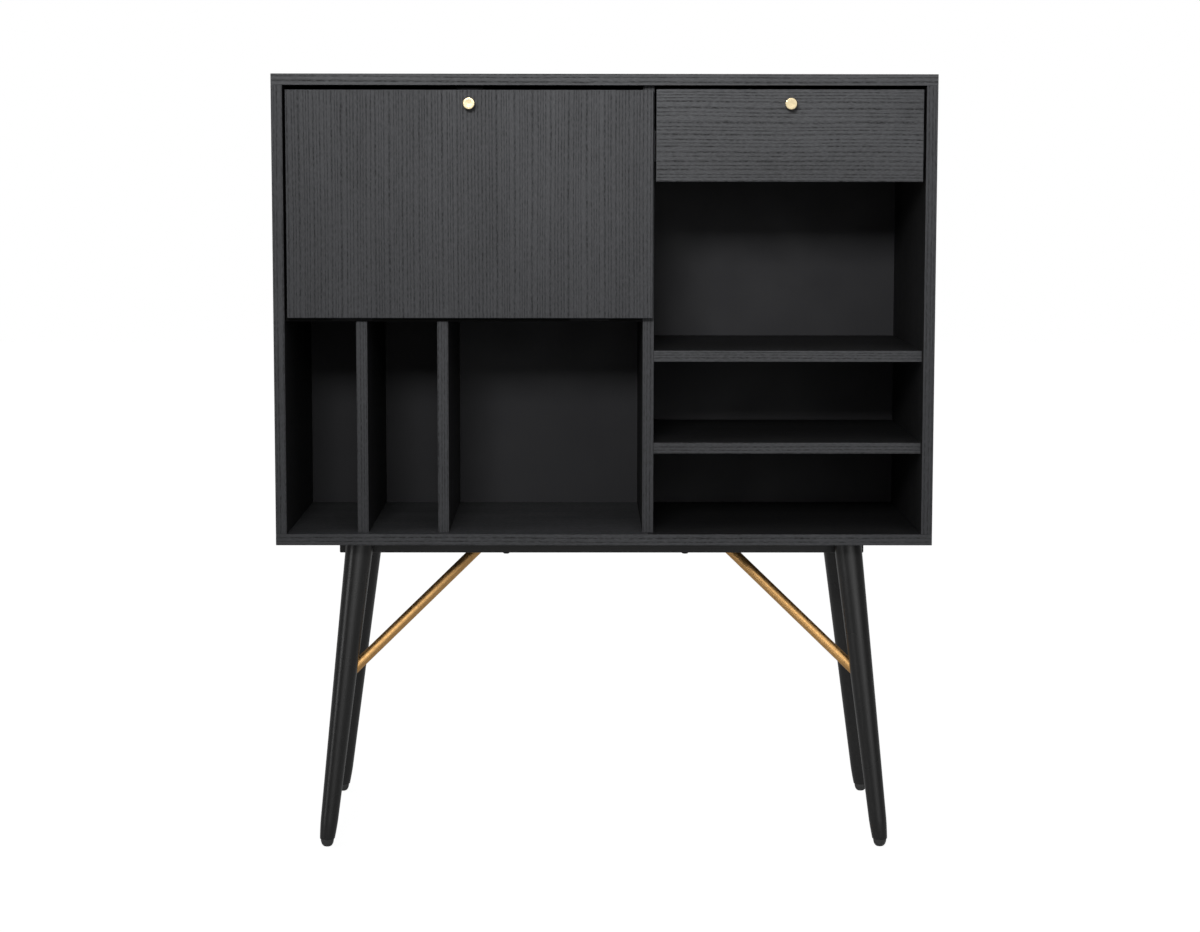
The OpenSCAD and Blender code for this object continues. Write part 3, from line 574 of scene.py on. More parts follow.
class OpenGrain(Effect):
    """Rows of open pores between smooth late wood, with fine fibres and slow changes of tone."""

    title = "Open grain"
    numbers = {"Row Spacing": 0.003, "Waviness": 0.004, "Pore Length": 0.008}
    outputs = ("Tone", "Pores", "Height")

    def wire(self) -> dict[str, Socket]:
        """Places the rows, which wander and lie unevenly, the pores in them, and the fibres.

        Returns:
            The sockets of the tone, the pores and the height.
        """
        place = self.given["Place"]
        across, side, along = self.add("SeparateXYZ", {0: place}).outputs
        bend = self.noise(self.stretched(place, (7.0, 1.0, 2.4)), detail=1.0)
        swayed = self.plus(across, self.swing(bend, self.given["Waviness"]))
        count = self.math("DIVIDE", swayed, self.given["Row Spacing"])
        uneven = self.noise(self.vector(self.times(count, 0.4), side, 0.0))
        row = self.plus(count, self.times(uneven, 2.0))
        band = self.spread(self.math("PINGPONG", row, 0.5), 0.06, 0.26, 1.0, 0.0)
        number = self.times(self.math("FLOOR", row), 5.3)
        run = self.math("DIVIDE", along, self.given["Pore Length"])
        strength = self.noise(self.vector(number, side, self.times(run, 0.2)))
        dash = self.noise(self.vector(self.times(swayed, 450.0), side, run), detail=2.0)
        pore = self.times(band, self.spread(dash, 0.36, 0.62, 0.25, 1.0))
        pores = self.times(pore, self.spread(strength, 0.30, 0.62, 0.45, 1.0))
        fibres = self.noise(self.stretched(place, (700.0, 40.0, 150.0)), detail=3.0)
        broad = self.noise(self.stretched(place, (16.0, 3.0, 3.5)), detail=2.0)
        swung = self.plus(self.swing(fibres, 1.6), self.swing(broad, 0.9))
        relief = self.plus(self.times(fibres, 0.25), self.times(pores, -1.0))
        return {
            "Tone": self.spread(self.plus(swung, 0.5), 0.0, 1.0),
            "Pores": pores,
            "Height": self.plus(relief, self.times(band, -0.25)),
        }


class EdgeWearAndSheen(Effect):
    """Spots along rounded edges, for rubbed finish and a painted sheen of the edges."""

    title = "Edge wear and painted sheen"
    numbers = {"Edge": 0.0, "Scale": 90.0}
    outputs = ("Wear And Sheen",)

    def wire(self) -> dict[str, Socket]:
        """Places the spots and returns the socket of their mask."""
        spots = self.noise(self.given["Place"], self.given["Scale"], 3.0)
        return {"Wear And Sheen": self.times(self.given["Edge"], self.spread(spots, 0.35, 0.7))}


class FineSkin(Effect):
    """The slight unevenness of a sprayed, moulded or rolled surface, and its uneven sheen."""

    title = "Fine skin"
    numbers = {"Scale": 900.0}
    outputs = ("Height", "Sheen")

    def wire(self) -> dict[str, Socket]:
        """Places fine and broad noise.

        Returns:
            The sockets of the height and the sheen.
        """
        fine = self.noise(self.given["Place"], self.given["Scale"], 2.0)
        broad = self.noise(self.given["Place"], 14.0, 3.0)
        return {"Height": fine, "Sheen": self.spread(broad, 0.3, 0.7)}


class BrushedMarks(Effect):
    """Fine parallel marks left by brushing or turning, in the direction that isn't stretched."""

    title = "Brushed marks"
    vectors = ("Place", "Stretch")
    outputs = ("Marks", "Stains")

    def wire(self) -> dict[str, Socket]:
        """Places streaks and faint stains.

        Returns:
            The sockets of the marks and of the stains.
        """
        streaks = self.noise(self.stretched(self.given["Place"], self.given["Stretch"]), detail=2.0)
        stains = self.noise(self.given["Place"], 70.0, 3.0)
        return {"Marks": self.spread(streaks, 0.3, 0.7), "Stains": self.spread(stains, 0.35, 0.75)}


# Finishes


@dataclass(frozen=True)
class Finish:
    """Look of one material.

    Attributes:
        title: Name of the material.
        slot: Material slot of the record that it stands for; not used.
        colour: Its main colour.
        roughness: Its mean roughness.
        relief: Depth of its relief.
        strength: How much of the relief shows.
        specular: Strength of its mirrored light.
        metallic: Whether it is a metal, as 0 or 1.
        wear_and_sheen: How much the lighter spots along its rounded edges show, as wear and painted sheen.
        wear_and_sheen_factor: How many times lighter it is there.
    """

    title: str
    slot: str
    colour: Colour
    roughness: float
    relief: float = 0.03 * MM
    strength: float = 0.5
    specular: float = 0.5
    metallic: float = 0.0
    wear_and_sheen: float = 0.5
    wear_and_sheen_factor: float = 1.8

    def material(self) -> bpy.types.Material:
        """Builds the material the first time it is asked for.

        Returns:
            The material.
        """
        known = bpy.data.materials.get(self.title)
        if known:
            return known
        material = bpy.data.materials.new(self.title)
        self.wire(bare_tree(material))
        material.diffuse_color = (*self.colour, 1.0)
        return material

    def wire(self, tree: Tree) -> None:
        """Places the finish's nodes in the material's tree."""
        raise NotImplementedError

    def shade(self, factor: float) -> Colour:
        """Returns the main colour, made lighter or darker by a factor."""
        return tuple(min(1.0, share * factor) for share in self.colour)

    def add_wear_and_sheen(self, tree: Tree, place: Socket, colour: Socket) -> Socket:
        """Returns the socket of a colour that is lighter in spots along the rounded edges, for wear and a
        painted sheen.
        """
        wear_and_sheen = tree.effect(EdgeWearAndSheen, {"Place": place, "Edge": tree.attribute(EDGE, "Fac")})["Wear And Sheen"]
        # Lightens the rounded edges in spots: wear, and a painted sheen of the edges.
        return tree.blend(tree.times(wear_and_sheen, self.wear_and_sheen), colour, self.shade(self.wear_and_sheen_factor))

    def shine(self, tree: Tree, colour: Socket, roughness: Socket, height: Socket) -> None:
        """Places the material's shader and feeds it.

        Args:
            tree: The material's tree.
            colour: The shader's colour.
            roughness: Its roughness.
            height: Height of its relief.
        """
        bump = tree.add("Bump", {"Height": height, "Distance": self.relief, "Strength": self.strength})
        shader = tree.add("BsdfPrincipled", {
            "Base Color": colour,
            "Roughness": roughness,
            "Metallic": self.metallic,
            "Specular IOR Level": self.specular,
            "Normal": bump.outputs[0],
        })
        tree.add("OutputMaterial", {"Surface": shader.outputs[0]})


@dataclass(frozen=True)
class Wood(Finish):
    """Wood or veneer with open grain under a thin finish.

    Attributes:
        pore_colour: Colour inside the pores.
        contrast: How far the tone swings round the main colour.
        row_spacing: Distance between rows of pores.
        waviness: How far the rows wander.
        pore_length: Length of a pore along the fibres.
        source: Where the grain coordinates come from.
    """

    relief: float = 0.15 * MM
    strength: float = 0.7
    specular: float = 0.35
    pore_colour: Colour = (0.02, 0.02, 0.02)
    contrast: float = 0.3
    row_spacing: float = 5.4 * MM
    waviness: float = 7 * MM
    pore_length: float = 6 * MM
    source: Source = Source.BOARD

    def wire(self, tree: Tree) -> None:
        """Places the grain, its pores and the edge wear and painted sheen, and the shader.

        Args:
            tree: The material's tree.
        """
        place = tree.attribute(GRAIN, "Vector") if self.source is Source.BOARD else tree.space()
        grain = tree.effect(OpenGrain, {
            "Place": place,
            "Row Spacing": self.row_spacing,
            "Waviness": self.waviness,
            "Pore Length": self.pore_length,
        })
        wood = tree.blend(grain["Tone"], self.shade(1 - self.contrast), self.shade(1 + self.contrast))
        pored = tree.blend(grain["Pores"], wood, self.pore_colour)
        dull = tree.spread(grain["Pores"], 0.0, 1.0, self.roughness, min(1.0, self.roughness + 0.2))
        rough = tree.plus(dull, tree.times(grain["Tone"], -0.06))
        self.shine(tree, self.add_wear_and_sheen(tree, place, pored), rough, grain["Height"])


@dataclass(frozen=True)
class Foil(Finish):
    """Smooth printed foil of the back panel, with a faint fine grain."""

    specular: float = 0.35

    def wire(self, tree: Tree) -> None:
        """Places the foil's faint figure, and the shader.

        Args:
            tree: The material's tree.
        """
        place = tree.attribute(GRAIN, "Vector")
        rolled = tree.effect(FineSkin, {"Place": place, "Scale": 700.0})
        fibres = tree.noise(tree.stretched(place, (900.0, 30.0, 18.0)), detail=2.0)
        tone = tree.times(tree.plus(fibres, rolled["Sheen"]), 0.5)
        figure = tree.blend(tone, self.shade(0.86), self.shade(1.14))
        rough = tree.spread(rolled["Sheen"], 0.0, 1.0, self.roughness - 0.04, self.roughness + 0.04)
        self.shine(tree, figure, rough, rolled["Height"])


@dataclass(frozen=True)
class Lacquer(Finish):
    """Satin lacquer over solid wood, through which the fibres just show.

    Attributes:
        fibres: Direction of the fibres.
    """

    relief: float = 0.05 * MM
    strength: float = 0.6
    wear_and_sheen: float = 0.4
    wear_and_sheen_factor: float = 2.0
    fibres: Axis = Axis.Z

    def wire(self, tree: Tree) -> None:
        """Places the fibres, the lacquer's skin and the edge wear and painted sheen, and the shader.

        Args:
            tree: The material's tree.
        """
        place = tree.space()
        squeeze = tuple(14.0 if axis == self.fibres else 900.0 for axis in Axis)
        fibres = tree.noise(tree.stretched(place, squeeze), detail=3.0)
        sprayed = tree.effect(FineSkin, {"Place": place, "Scale": 420.0})
        wood = tree.blend(tree.spread(fibres, 0.3, 0.7), self.shade(0.8), self.shade(1.2))
        rough = tree.spread(sprayed["Sheen"], 0.0, 1.0, self.roughness - 0.03, self.roughness + 0.05)
        height = tree.plus(fibres, tree.times(sprayed["Height"], 0.5))
        self.shine(tree, self.add_wear_and_sheen(tree, place, wood), rough, height)


@dataclass(frozen=True)
class Metal(Finish):
    """Polished, brushed or plated metal.

    Attributes:
        stretch: How the marks are squeezed along x, y and z.
        tarnish: Share of the colour lost in the darkest stains.
    """

    relief: float = 0.01 * MM
    metallic: float = 1.0
    stretch: tuple[float, float, float] = (600.0, 600.0, 30.0)
    tarnish: float = 0.12

    def wire(self, tree: Tree) -> None:
        """Places the marks and stains, and the shader.

        Args:
            tree: The material's tree.
        """
        brushed = tree.effect(BrushedMarks, {"Place": tree.space(), "Stretch": self.stretch})
        stained = tree.blend(brushed["Stains"], self.colour, self.shade(1 - self.tarnish))
        marks = tree.spread(brushed["Marks"], 0.0, 1.0, self.roughness * 0.8, self.roughness * 1.2)
        rough = tree.plus(marks, tree.times(brushed["Stains"], 0.04))
        self.shine(tree, stained, rough, brushed["Marks"])


@dataclass(frozen=True)
class Plastic(Finish):
    """Moulded plastic with a fine skin."""

    specular: float = 0.3

    def wire(self, tree: Tree) -> None:
        """Places the moulded skin, and the shader.

        Args:
            tree: The material's tree.
        """
        moulded = tree.effect(FineSkin, {"Place": tree.space(), "Scale": 1500.0})
        sheen = moulded["Sheen"]
        rough = tree.spread(sheen, 0.0, 1.0, self.roughness - 0.05, self.roughness + 0.05)
        self.shine(tree, tree.blend(sheen, self.shade(0.9), self.shade(1.1)), rough, moulded["Height"])


def even(value: float) -> Colour:
    """Returns three equal numbers, as an even grey or an even stretch."""
    return value, value, value


UPRIGHT_VENEER = Wood("Upright veneer", "dark_stained_veneer", (0.074, 0.0755, 0.0815), 0.56,
                      pore_colour=(0.024, 0.024, 0.026), contrast=0.34, waviness=5 * MM)
# Painted sheen: the level and drawer copies of the veneer are lighter than the upright one, standing in for
# the brighter sheen of level fibres.
LEVEL_VENEER_PAINTED_SHEEN = Wood("Level veneer with painted sheen", "dark_stained_veneer", (0.089, 0.091, 0.097), 0.54,
                    pore_colour=(0.018, 0.018, 0.019), contrast=0.4)
DRAWER_VENEER_PAINTED_SHEEN = Wood("Drawer veneer with painted sheen", "dark_stained_veneer", (0.089, 0.091, 0.097), 0.54,
                     pore_colour=(0.016, 0.016, 0.017), contrast=0.4, row_spacing=6.4 * MM,
                     waviness=16 * MM)
# Painted shade: a much darker copy of the same veneer for the faces towards the bays, standing in for the
# shade inside them.
INNER_VENEER_PAINTED_SHADE = Wood("Inner veneer with painted shade", "dark_stained_veneer", (0.020, 0.020, 0.0215), 0.62,
                    pore_colour=even(0.008), specular=0.25)
# Painted shade: a near-black copy of the veneer for the compartment floor, whose front strip under the flap
# stands in for the shade there.
FLOOR_VENEER_PAINTED_SHADE = Wood("Floor veneer with painted shade", "dark_stained_veneer", even(0.006), 0.65,
                    pore_colour=even(0.003), specular=0.1)
BACK_FOIL = Foil("Back foil", "dark_back_panel", (0.0255, 0.0255, 0.029), 0.6)
LEG_LACQUER = Lacquer("Leg lacquer", "dark_stained_solid_wood", even(0.029), 0.27)
RAIL_LACQUER = Lacquer("Rail lacquer", "dark_stained_solid_wood", even(0.030), 0.42, fibres=Axis.X)
PALE_WOOD = Wood("Pale wood", "pale_wood", (0.56, 0.41, 0.24), 0.55, relief=0.05 * MM,
                 pore_colour=(0.36, 0.24, 0.13), contrast=0.1, row_spacing=4 * MM,
                 waviness=10 * MM, pore_length=8 * MM)
DOWEL_WOOD = Wood("Dowel wood", "pale_wood", (0.55, 0.40, 0.24), 0.6, relief=0.05 * MM,
                  pore_colour=(0.38, 0.26, 0.14), contrast=0.1, row_spacing=1.4 * MM,
                  waviness=4 * MM, pore_length=8 * MM, source=Source.SPACE)
BOTTOM_WOOD = Wood("Drawer bottom", "drawer_bottom_board", (0.48, 0.35, 0.21), 0.6, relief=0.04 * MM,
                   pore_colour=(0.34, 0.23, 0.13), contrast=0.12, row_spacing=6 * MM,
                   waviness=30 * MM, pore_length=8 * MM)
KNOB_BRASS = Metal("Knob brass", "satin_brass", (0.595, 0.495, 0.31), 0.2, relief=0.001 * MM,
                   stretch=(500.0, 60.0, 500.0), tarnish=0.02)
BRACE_BRASS = Metal("Brace brass", "polished_brass", (0.82, 0.48, 0.185), 0.45, relief=0.0005 * MM,
                    stretch=even(200.0), tarnish=0.06)
INSERT_BRASS = Metal("Insert brass", "insert_brass", (0.60, 0.42, 0.18), 0.35)
ZINC_STEEL = Metal("Zinc steel", "zinc_steel", (0.52, 0.52, 0.53), 0.36, stretch=even(240.0))
BLACK_STEEL = Metal("Black steel", "black_steel", (0.014, 0.014, 0.015), 0.5, stretch=even(300.0))
BLACK_RUNNER = Metal("Black runner", "black_steel", (0.03, 0.03, 0.032), 0.32,
                     stretch=(900.0, 12.0, 900.0))
MAGNET_METAL = Metal("Magnet metal", "magnet_metal", (0.015, 0.015, 0.016), 0.6,
                     stretch=(900.0, 900.0, 40.0))
BLACK_PLASTIC = Plastic("Black plastic", "black_plastic", even(0.004), 0.65, specular=0.05)
GREY_NYLON = Plastic("Grey nylon", "grey_nylon", even(0.16), 0.5)
WHITE_NYLON = Plastic("White nylon", "white_nylon", (0.74, 0.74, 0.71), 0.45)


def settle(piece: Piece, body: Body, finish: Finish, *nodes: str) -> None:
    """Paints a new piece, lets it ride on its body and hides the nodes that it stands for.

    Args:
        piece: The piece.
        body: The body that it rides on.
        finish: Its finish.
        *nodes: The nodes that it stands for.
    """
    piece.data.materials.clear()
    piece.data.materials.append(finish.material())
    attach(piece, body.value)
    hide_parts(*nodes)
    faces = len(piece.data.polygons)
    log.info("%s: %d faces, rides on %s, %s", piece.name, faces, body.value, finish.title)


# Pieces


@dataclass
class Board:
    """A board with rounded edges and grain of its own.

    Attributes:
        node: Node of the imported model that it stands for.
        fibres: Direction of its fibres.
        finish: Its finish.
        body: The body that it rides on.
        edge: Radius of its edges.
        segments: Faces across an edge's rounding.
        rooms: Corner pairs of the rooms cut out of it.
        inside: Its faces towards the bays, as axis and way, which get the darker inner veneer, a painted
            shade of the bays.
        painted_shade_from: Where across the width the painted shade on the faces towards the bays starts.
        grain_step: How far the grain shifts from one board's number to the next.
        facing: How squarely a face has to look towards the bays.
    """

    node: str
    fibres: Axis
    finish: Finish
    body: Body = Body.CARCASS
    edge: float = 0.6 * MM
    segments: int = 2
    rooms: list[Box] = field(default_factory=list)
    inside: tuple[tuple[Axis, int], ...] = ()
    painted_shade_from: float = -math.inf
    grain_step: float = 1.37
    facing: float = 0.9

    def build(self, number: int) -> None:
        """Builds and dresses the board.

        Args:
            number: The board's number, which shifts its grain.
        """
        low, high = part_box(self.node)
        thickness = min(Axis, key=lambda axis: high[axis] - low[axis])
        piece = slab(self.node + "_looks", low, high)
        soften(piece, self.edge, self.segments)
        cut(piece, [slab("room", *room) for room in self.rooms])
        # Parts the board where its painted shade starts.
        if low.x < self.painted_shade_from:
            split(piece, Vector((self.painted_shade_from, 0.0, 0.0)), Vector((1.0, 0.0, 0.0)))
        even_shading(piece, WOOD_SHARP)
        mark_edges(piece)
        lay_grain(piece, self.fibres, thickness, self.grain_step * (number + 1))
        settle(piece, self.body, self.finish, self.node)
        if self.inside:
            self.paint_shade_inside(piece)

    def paint_shade_inside(self, piece: Piece) -> None:
        """Gives the faces towards the bays the darker inner veneer, a painted shade of the bays.

        Args:
            piece: The board's piece.
        """
        piece.data.materials.append(INNER_VENEER_PAINTED_SHADE.material())
        for face in piece.data.polygons:
            inward = any(face.normal[axis] * way > self.facing for axis, way in self.inside)
            if inward and face.center.x > self.painted_shade_from:
                face.material_index = 1


@dataclass
class Carcass:
    """The carcass boards.

    Attributes:
        clearance: Room round a hinge leaf let into the compartment floor.
        back_edge: Radius of the back panel's edges.
    """

    clearance: float = 0.05 * MM
    back_edge: float = 0.3 * MM

    def leaf_rooms(self) -> list[Box]:
        """Measures the hinge leaves let into the compartment floor's front edge.

        Returns:
            Their rooms, as corner pairs.
        """
        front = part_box("compartment_floor")[0].y
        spare = Vector((self.clearance, 0.0, self.clearance))
        leaves = solids("floor_hinge_leaves")
        return [(Vector((low.x, front - MM, low.z)) - spare, high + spare) for low, high in leaves]

    def build(self) -> None:
        """Builds and dresses the carcass boards."""
        above, below = (Axis.Z, 1), (Axis.Z, -1)
        left, right = (Axis.X, -1), (Axis.X, 1)
        level = {"top_board": (below,), "lower_shelf": (above, below), "upper_shelf": (above, below)}
        upright = {"left_side_panel": (right,), "right_side_panel": (left,),
                   "middle_upright": (left, right), "outer_divider": (left, right),
                   "inner_divider": (left, right)}
        right_bays = sum(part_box("middle_upright"), Vector()).x / 2
        # The faces towards the bays get the darker inner veneer, which paints the shade inside the bays.
        boards = [Board(node, Axis.X, LEVEL_VENEER_PAINTED_SHEEN, inside=faces) for node, faces in level.items()]
        boards += [Board(node, Axis.Z, UPRIGHT_VENEER, inside=faces) for node, faces in upright.items()]
        # Painted shade: the bottom board's floor is darkened only in the right bays, where shade falls; the
        # left bays keep the level veneer.
        boards.append(Board("bottom_board", Axis.X, LEVEL_VENEER_PAINTED_SHEEN, inside=(above,), painted_shade_from=right_bays))
        # The compartment floor is near black, a painted shade of its strip under the flap.
        boards.append(Board("compartment_floor", Axis.X, FLOOR_VENEER_PAINTED_SHADE, rooms=self.leaf_rooms()))
        boards.append(Board("back_panel", Axis.Z, BACK_FOIL, edge=self.back_edge))
        for number, board in enumerate(boards):
            board.build(number)


@dataclass
class Knob:
    """A turned knob with a flat, slightly dished head.

    Attributes:
        node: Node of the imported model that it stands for.
        body: The body that it rides on.
        base_r: Radius of its base.
        base_h: Thickness of its base.
        neck_r: Radius of its neck.
        head_t: Thickness of its head.
        rim: Rounding of the head's rim.
        dish: Depth of the dish in its face.
        core: Radius at which the turning stops short of the axis.
        count: Points round the knob.
    """

    node: str
    body: Body
    base_r: float = 6 * MM
    base_h: float = 1.5 * MM
    neck_r: float = 4.5 * MM
    head_t: float = 4 * MM
    rim: float = 1.1 * MM
    dish: float = 0.1 * MM
    core: float = 0.2 * MM
    count: int = 96

    def build(self) -> None:
        """Builds and dresses the knob."""
        low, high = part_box(self.node)
        middle = (low + high) / 2
        length = high.y - low.y
        head_r = (high.x - low.x) / 2
        corners = [
            (self.core, 0.0), (self.base_r, 0.0), (self.base_r, self.base_h), (self.neck_r, self.base_h),
            (self.neck_r, length - self.head_t), (head_r, length - self.head_t), (head_r, length),
            (head_r - 3 * self.rim, length), (self.core, length - self.dish),
        ]
        radii = [0.0, 0.2 * MM, 0.4 * MM, 0.6 * MM, 1.0 * MM, 0.5 * MM, self.rim, 0.5 * MM, 0.0]
        place = axis_place(Vector((middle.x, high.y, middle.z)), Vector((0.0, -1.0, 0.0)))
        piece = turned(self.node + "_looks", rounded_path(corners, radii), place, self.count)
        settle(piece, self.body, KNOB_BRASS, self.node)


@dataclass
class Flap:
    """The drop flap's door and knob.

    Attributes:
        edge: Radius of the door's edges.
        play: Clearance round a hinge knuckle.
        clearance: Room round a hinge leaf.
        leaf_t: Thickness of a hinge leaf.
        number: The door's number, which shifts its grain.
    """

    edge: float = 1.2 * MM
    play: float = 0.4 * MM
    clearance: float = 0.05 * MM
    leaf_t: float = 1.6 * MM
    number: int = 20

    def hinge_rooms(self) -> list[Box]:
        """Measures the hinge knuckles and leaves let into the door.

        Returns:
            Their rooms, as corner pairs.
        """
        low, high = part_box("flap_door")
        behind = high.y + MM
        leaf_front = high.y - (self.leaf_t + self.clearance)
        rooms = []
        for leaf, pin in zip(solids("flap_hinge_leaves"), solids("hinge_pins")):
            pin_y, pin_z = ((pin[0][axis] + pin[1][axis]) / 2 for axis in (Axis.Y, Axis.Z))
            knuckle = pin_y - leaf[0].y + self.play
            rooms.append((Vector((pin[0].x - self.play, pin_y - knuckle, low.z - MM)),
                          Vector((pin[1].x + self.play, behind, pin_z + knuckle))))
            rooms.append((Vector((leaf[0].x - self.clearance, leaf_front, pin_z)),
                          Vector((leaf[1].x + self.clearance, behind, leaf[1].z + self.clearance))))
        return rooms

    def build(self) -> None:
        """Builds and dresses the door and its knob."""
        door = Board("flap_door", Axis.Z, UPRIGHT_VENEER, Body.FLAP, self.edge, segments=3,
                     rooms=self.hinge_rooms())
        door.build(self.number)
        Knob("flap_knob", Body.FLAP).build()


@dataclass
class Drawer:
    """The drawer's front, box and knob.

    Attributes:
        front_edge: Radius of the front's edges.
        box_edge: Radius of the box boards' edges.
        bottom_edge: Radius of the bottom's edges.
        number: The front's number, which shifts its grain; the other boards follow.
    """

    front_edge: float = 1.2 * MM
    box_edge: float = 0.8 * MM
    bottom_edge: float = 0.2 * MM
    number: int = 30

    def build(self) -> None:
        """Builds and dresses the drawer's boards and knob."""
        boards = [Board("drawer_front", Axis.X, DRAWER_VENEER_PAINTED_SHEEN, Body.DRAWER, self.front_edge, segments=3)]
        box = {"drawer_box_front": Axis.X, "drawer_left_side": Axis.Y, "drawer_right_side": Axis.Y,
               "drawer_back": Axis.X}
        boards += [Board(node, fibres, PALE_WOOD, Body.DRAWER, self.box_edge)
                   for node, fibres in box.items()]
        boards.append(Board("drawer_bottom", Axis.X, BOTTOM_WOOD, Body.DRAWER, self.bottom_edge))
        for number, board in enumerate(boards, self.number):
            board.build(number)
        Knob("drawer_knob", Body.DRAWER).build()


@dataclass
class Leg:
    """A splayed round leg that tapers to its foot.

    Attributes:
        node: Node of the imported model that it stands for.
        end_h: Height of the stretch that draws in at the foot.
        end_in: How far the radius draws in there.
        end_curve: How sharply it draws in.
        edge: Rounding of the foot's edge.
        end_steps: Steps from ring to ring in that stretch.
        steps: Steps from ring to ring above it.
        count: Points round the leg.
    """

    node: str
    end_h: float = 30 * MM
    end_in: float = 1.5 * MM
    end_curve: float = 1.5
    edge: float = 0.6 * MM
    end_steps: int = 6
    steps: int = 12
    count: int = 64

    def __post_init__(self) -> None:
        """Reads the leg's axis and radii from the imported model."""
        low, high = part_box(self.node)
        foot_low, foot_high = level_box(self.node, low.z)
        self.foot = (foot_low + foot_high) / 2
        top_low, top_high = level_box(self.node, high.z)
        half = (top_high.x - top_low.x) / 2
        outer_y = top_low.y + half if self.foot.y < 0 else top_high.y - half
        self.top = Vector(((top_low.x + top_high.x) / 2, outer_y, high.z))
        self.slope = (self.foot - self.top) / (self.foot.z - self.top.z)
        widen = math.hypot(1.0, self.slope.x)
        self.top_r = half / widen
        self.foot_r = (foot_high.x - foot_low.x) / 2 / widen

    def at(self, level: float) -> Vector:
        """Returns the point of the leg's axis at a height."""
        return self.top + self.slope * (level - self.top.z)

    def radius(self, level: float) -> float:
        """Works out the leg's radius at a height, drawn in over the last stretch.

        Args:
            level: The height.

        Returns:
            The radius there.
        """
        above = level - self.foot.z
        straight_r = self.foot_r + self.end_in
        taper = (self.top_r - straight_r) * above / (self.top.z - self.foot.z)
        return straight_r + taper - self.end_in * max(0.0, 1 - above / self.end_h) ** self.end_curve

    def ring(self, level: float, radius: float) -> list[Vector]:
        """Makes a level ring of the leg.

        Args:
            level: Its height.
            radius: The leg's radius there.

        Returns:
            The ring's points.
        """
        lean = Vector((self.slope.x, self.slope.y, 0.0))
        along = lean.normalized()
        across = Vector((-along.y, along.x, 0.0))
        reach = radius * math.hypot(1.0, lean.length)
        middle = self.at(level)
        return [middle + along * reach * math.cos(a) + across * radius * math.sin(a)
                for a in full_turn(self.count)]

    def build(self) -> None:
        """Builds and dresses the leg."""
        start = self.foot.z + self.end_h
        levels = [self.foot.z + self.edge + (self.end_h - self.edge) * step / self.end_steps
                  for step in range(self.end_steps)]
        levels += [start + (self.top.z - start) * step / self.steps for step in range(self.steps + 1)]
        rings = [self.ring(self.foot.z, self.foot_r - self.edge)]
        rings += [self.ring(level, self.radius(level)) for level in levels]
        piece = skin(self.node + "_looks", rings)
        even_shading(piece, WOOD_SHARP)
        settle(piece, Body.CARCASS, LEG_LACQUER, self.node)


@dataclass
class Brace:
    """A round brass brace from a front leg up to the carcass, with a screwed flange.

    Attributes:
        node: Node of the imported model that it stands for.
        leg: The leg that it springs from.
        leg_part: Where on the leg it springs from, as a share of the leg's height from the top.
        radius: Radius of the tube.
        flange_t: Thickness of the flange.
        core: Radius at which the turning of the flange stops short of the axis.
        count: Points round the tube and the flange.
    """

    node: str
    leg: Leg
    leg_part: float = 0.45
    radius: float = 8.5 * MM
    flange_t: float = 3 * MM
    core: float = 0.5 * MM
    count: int = 64

    def build(self) -> None:
        """Builds and dresses the brace, whose tube ends inside the flange."""
        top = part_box(self.node)[1].z
        flange_low, flange_high = level_box(self.node, top)
        high = (flange_low + flange_high) / 2
        start = self.leg.at(top * (1 - self.leg_part))
        along = high - start
        path = [(self.radius, 0.0), (self.radius, along.length + 2 * self.radius)]
        tube = turned("tube", path, axis_place(start, along), self.count)
        split(tube, Vector((0.0, 0.0, top - self.flange_t / 2)), UP, crop=True)
        flange_r = (flange_high.x - flange_low.x) / 2
        corners = [(self.core, 0.0), (flange_r, 0.0), (flange_r, self.flange_t), (self.core, self.flange_t)]
        radii = [0.0, 1.2 * MM, 0.3 * MM, 0.0]
        place = axis_place(high - UP * self.flange_t, UP)
        flange = turned("flange", rounded_path(corners, radii), place, self.count)
        piece = joined(self.node + "_looks", [tube, flange])
        settle(piece, Body.CARCASS, BRACE_BRASS, self.node)


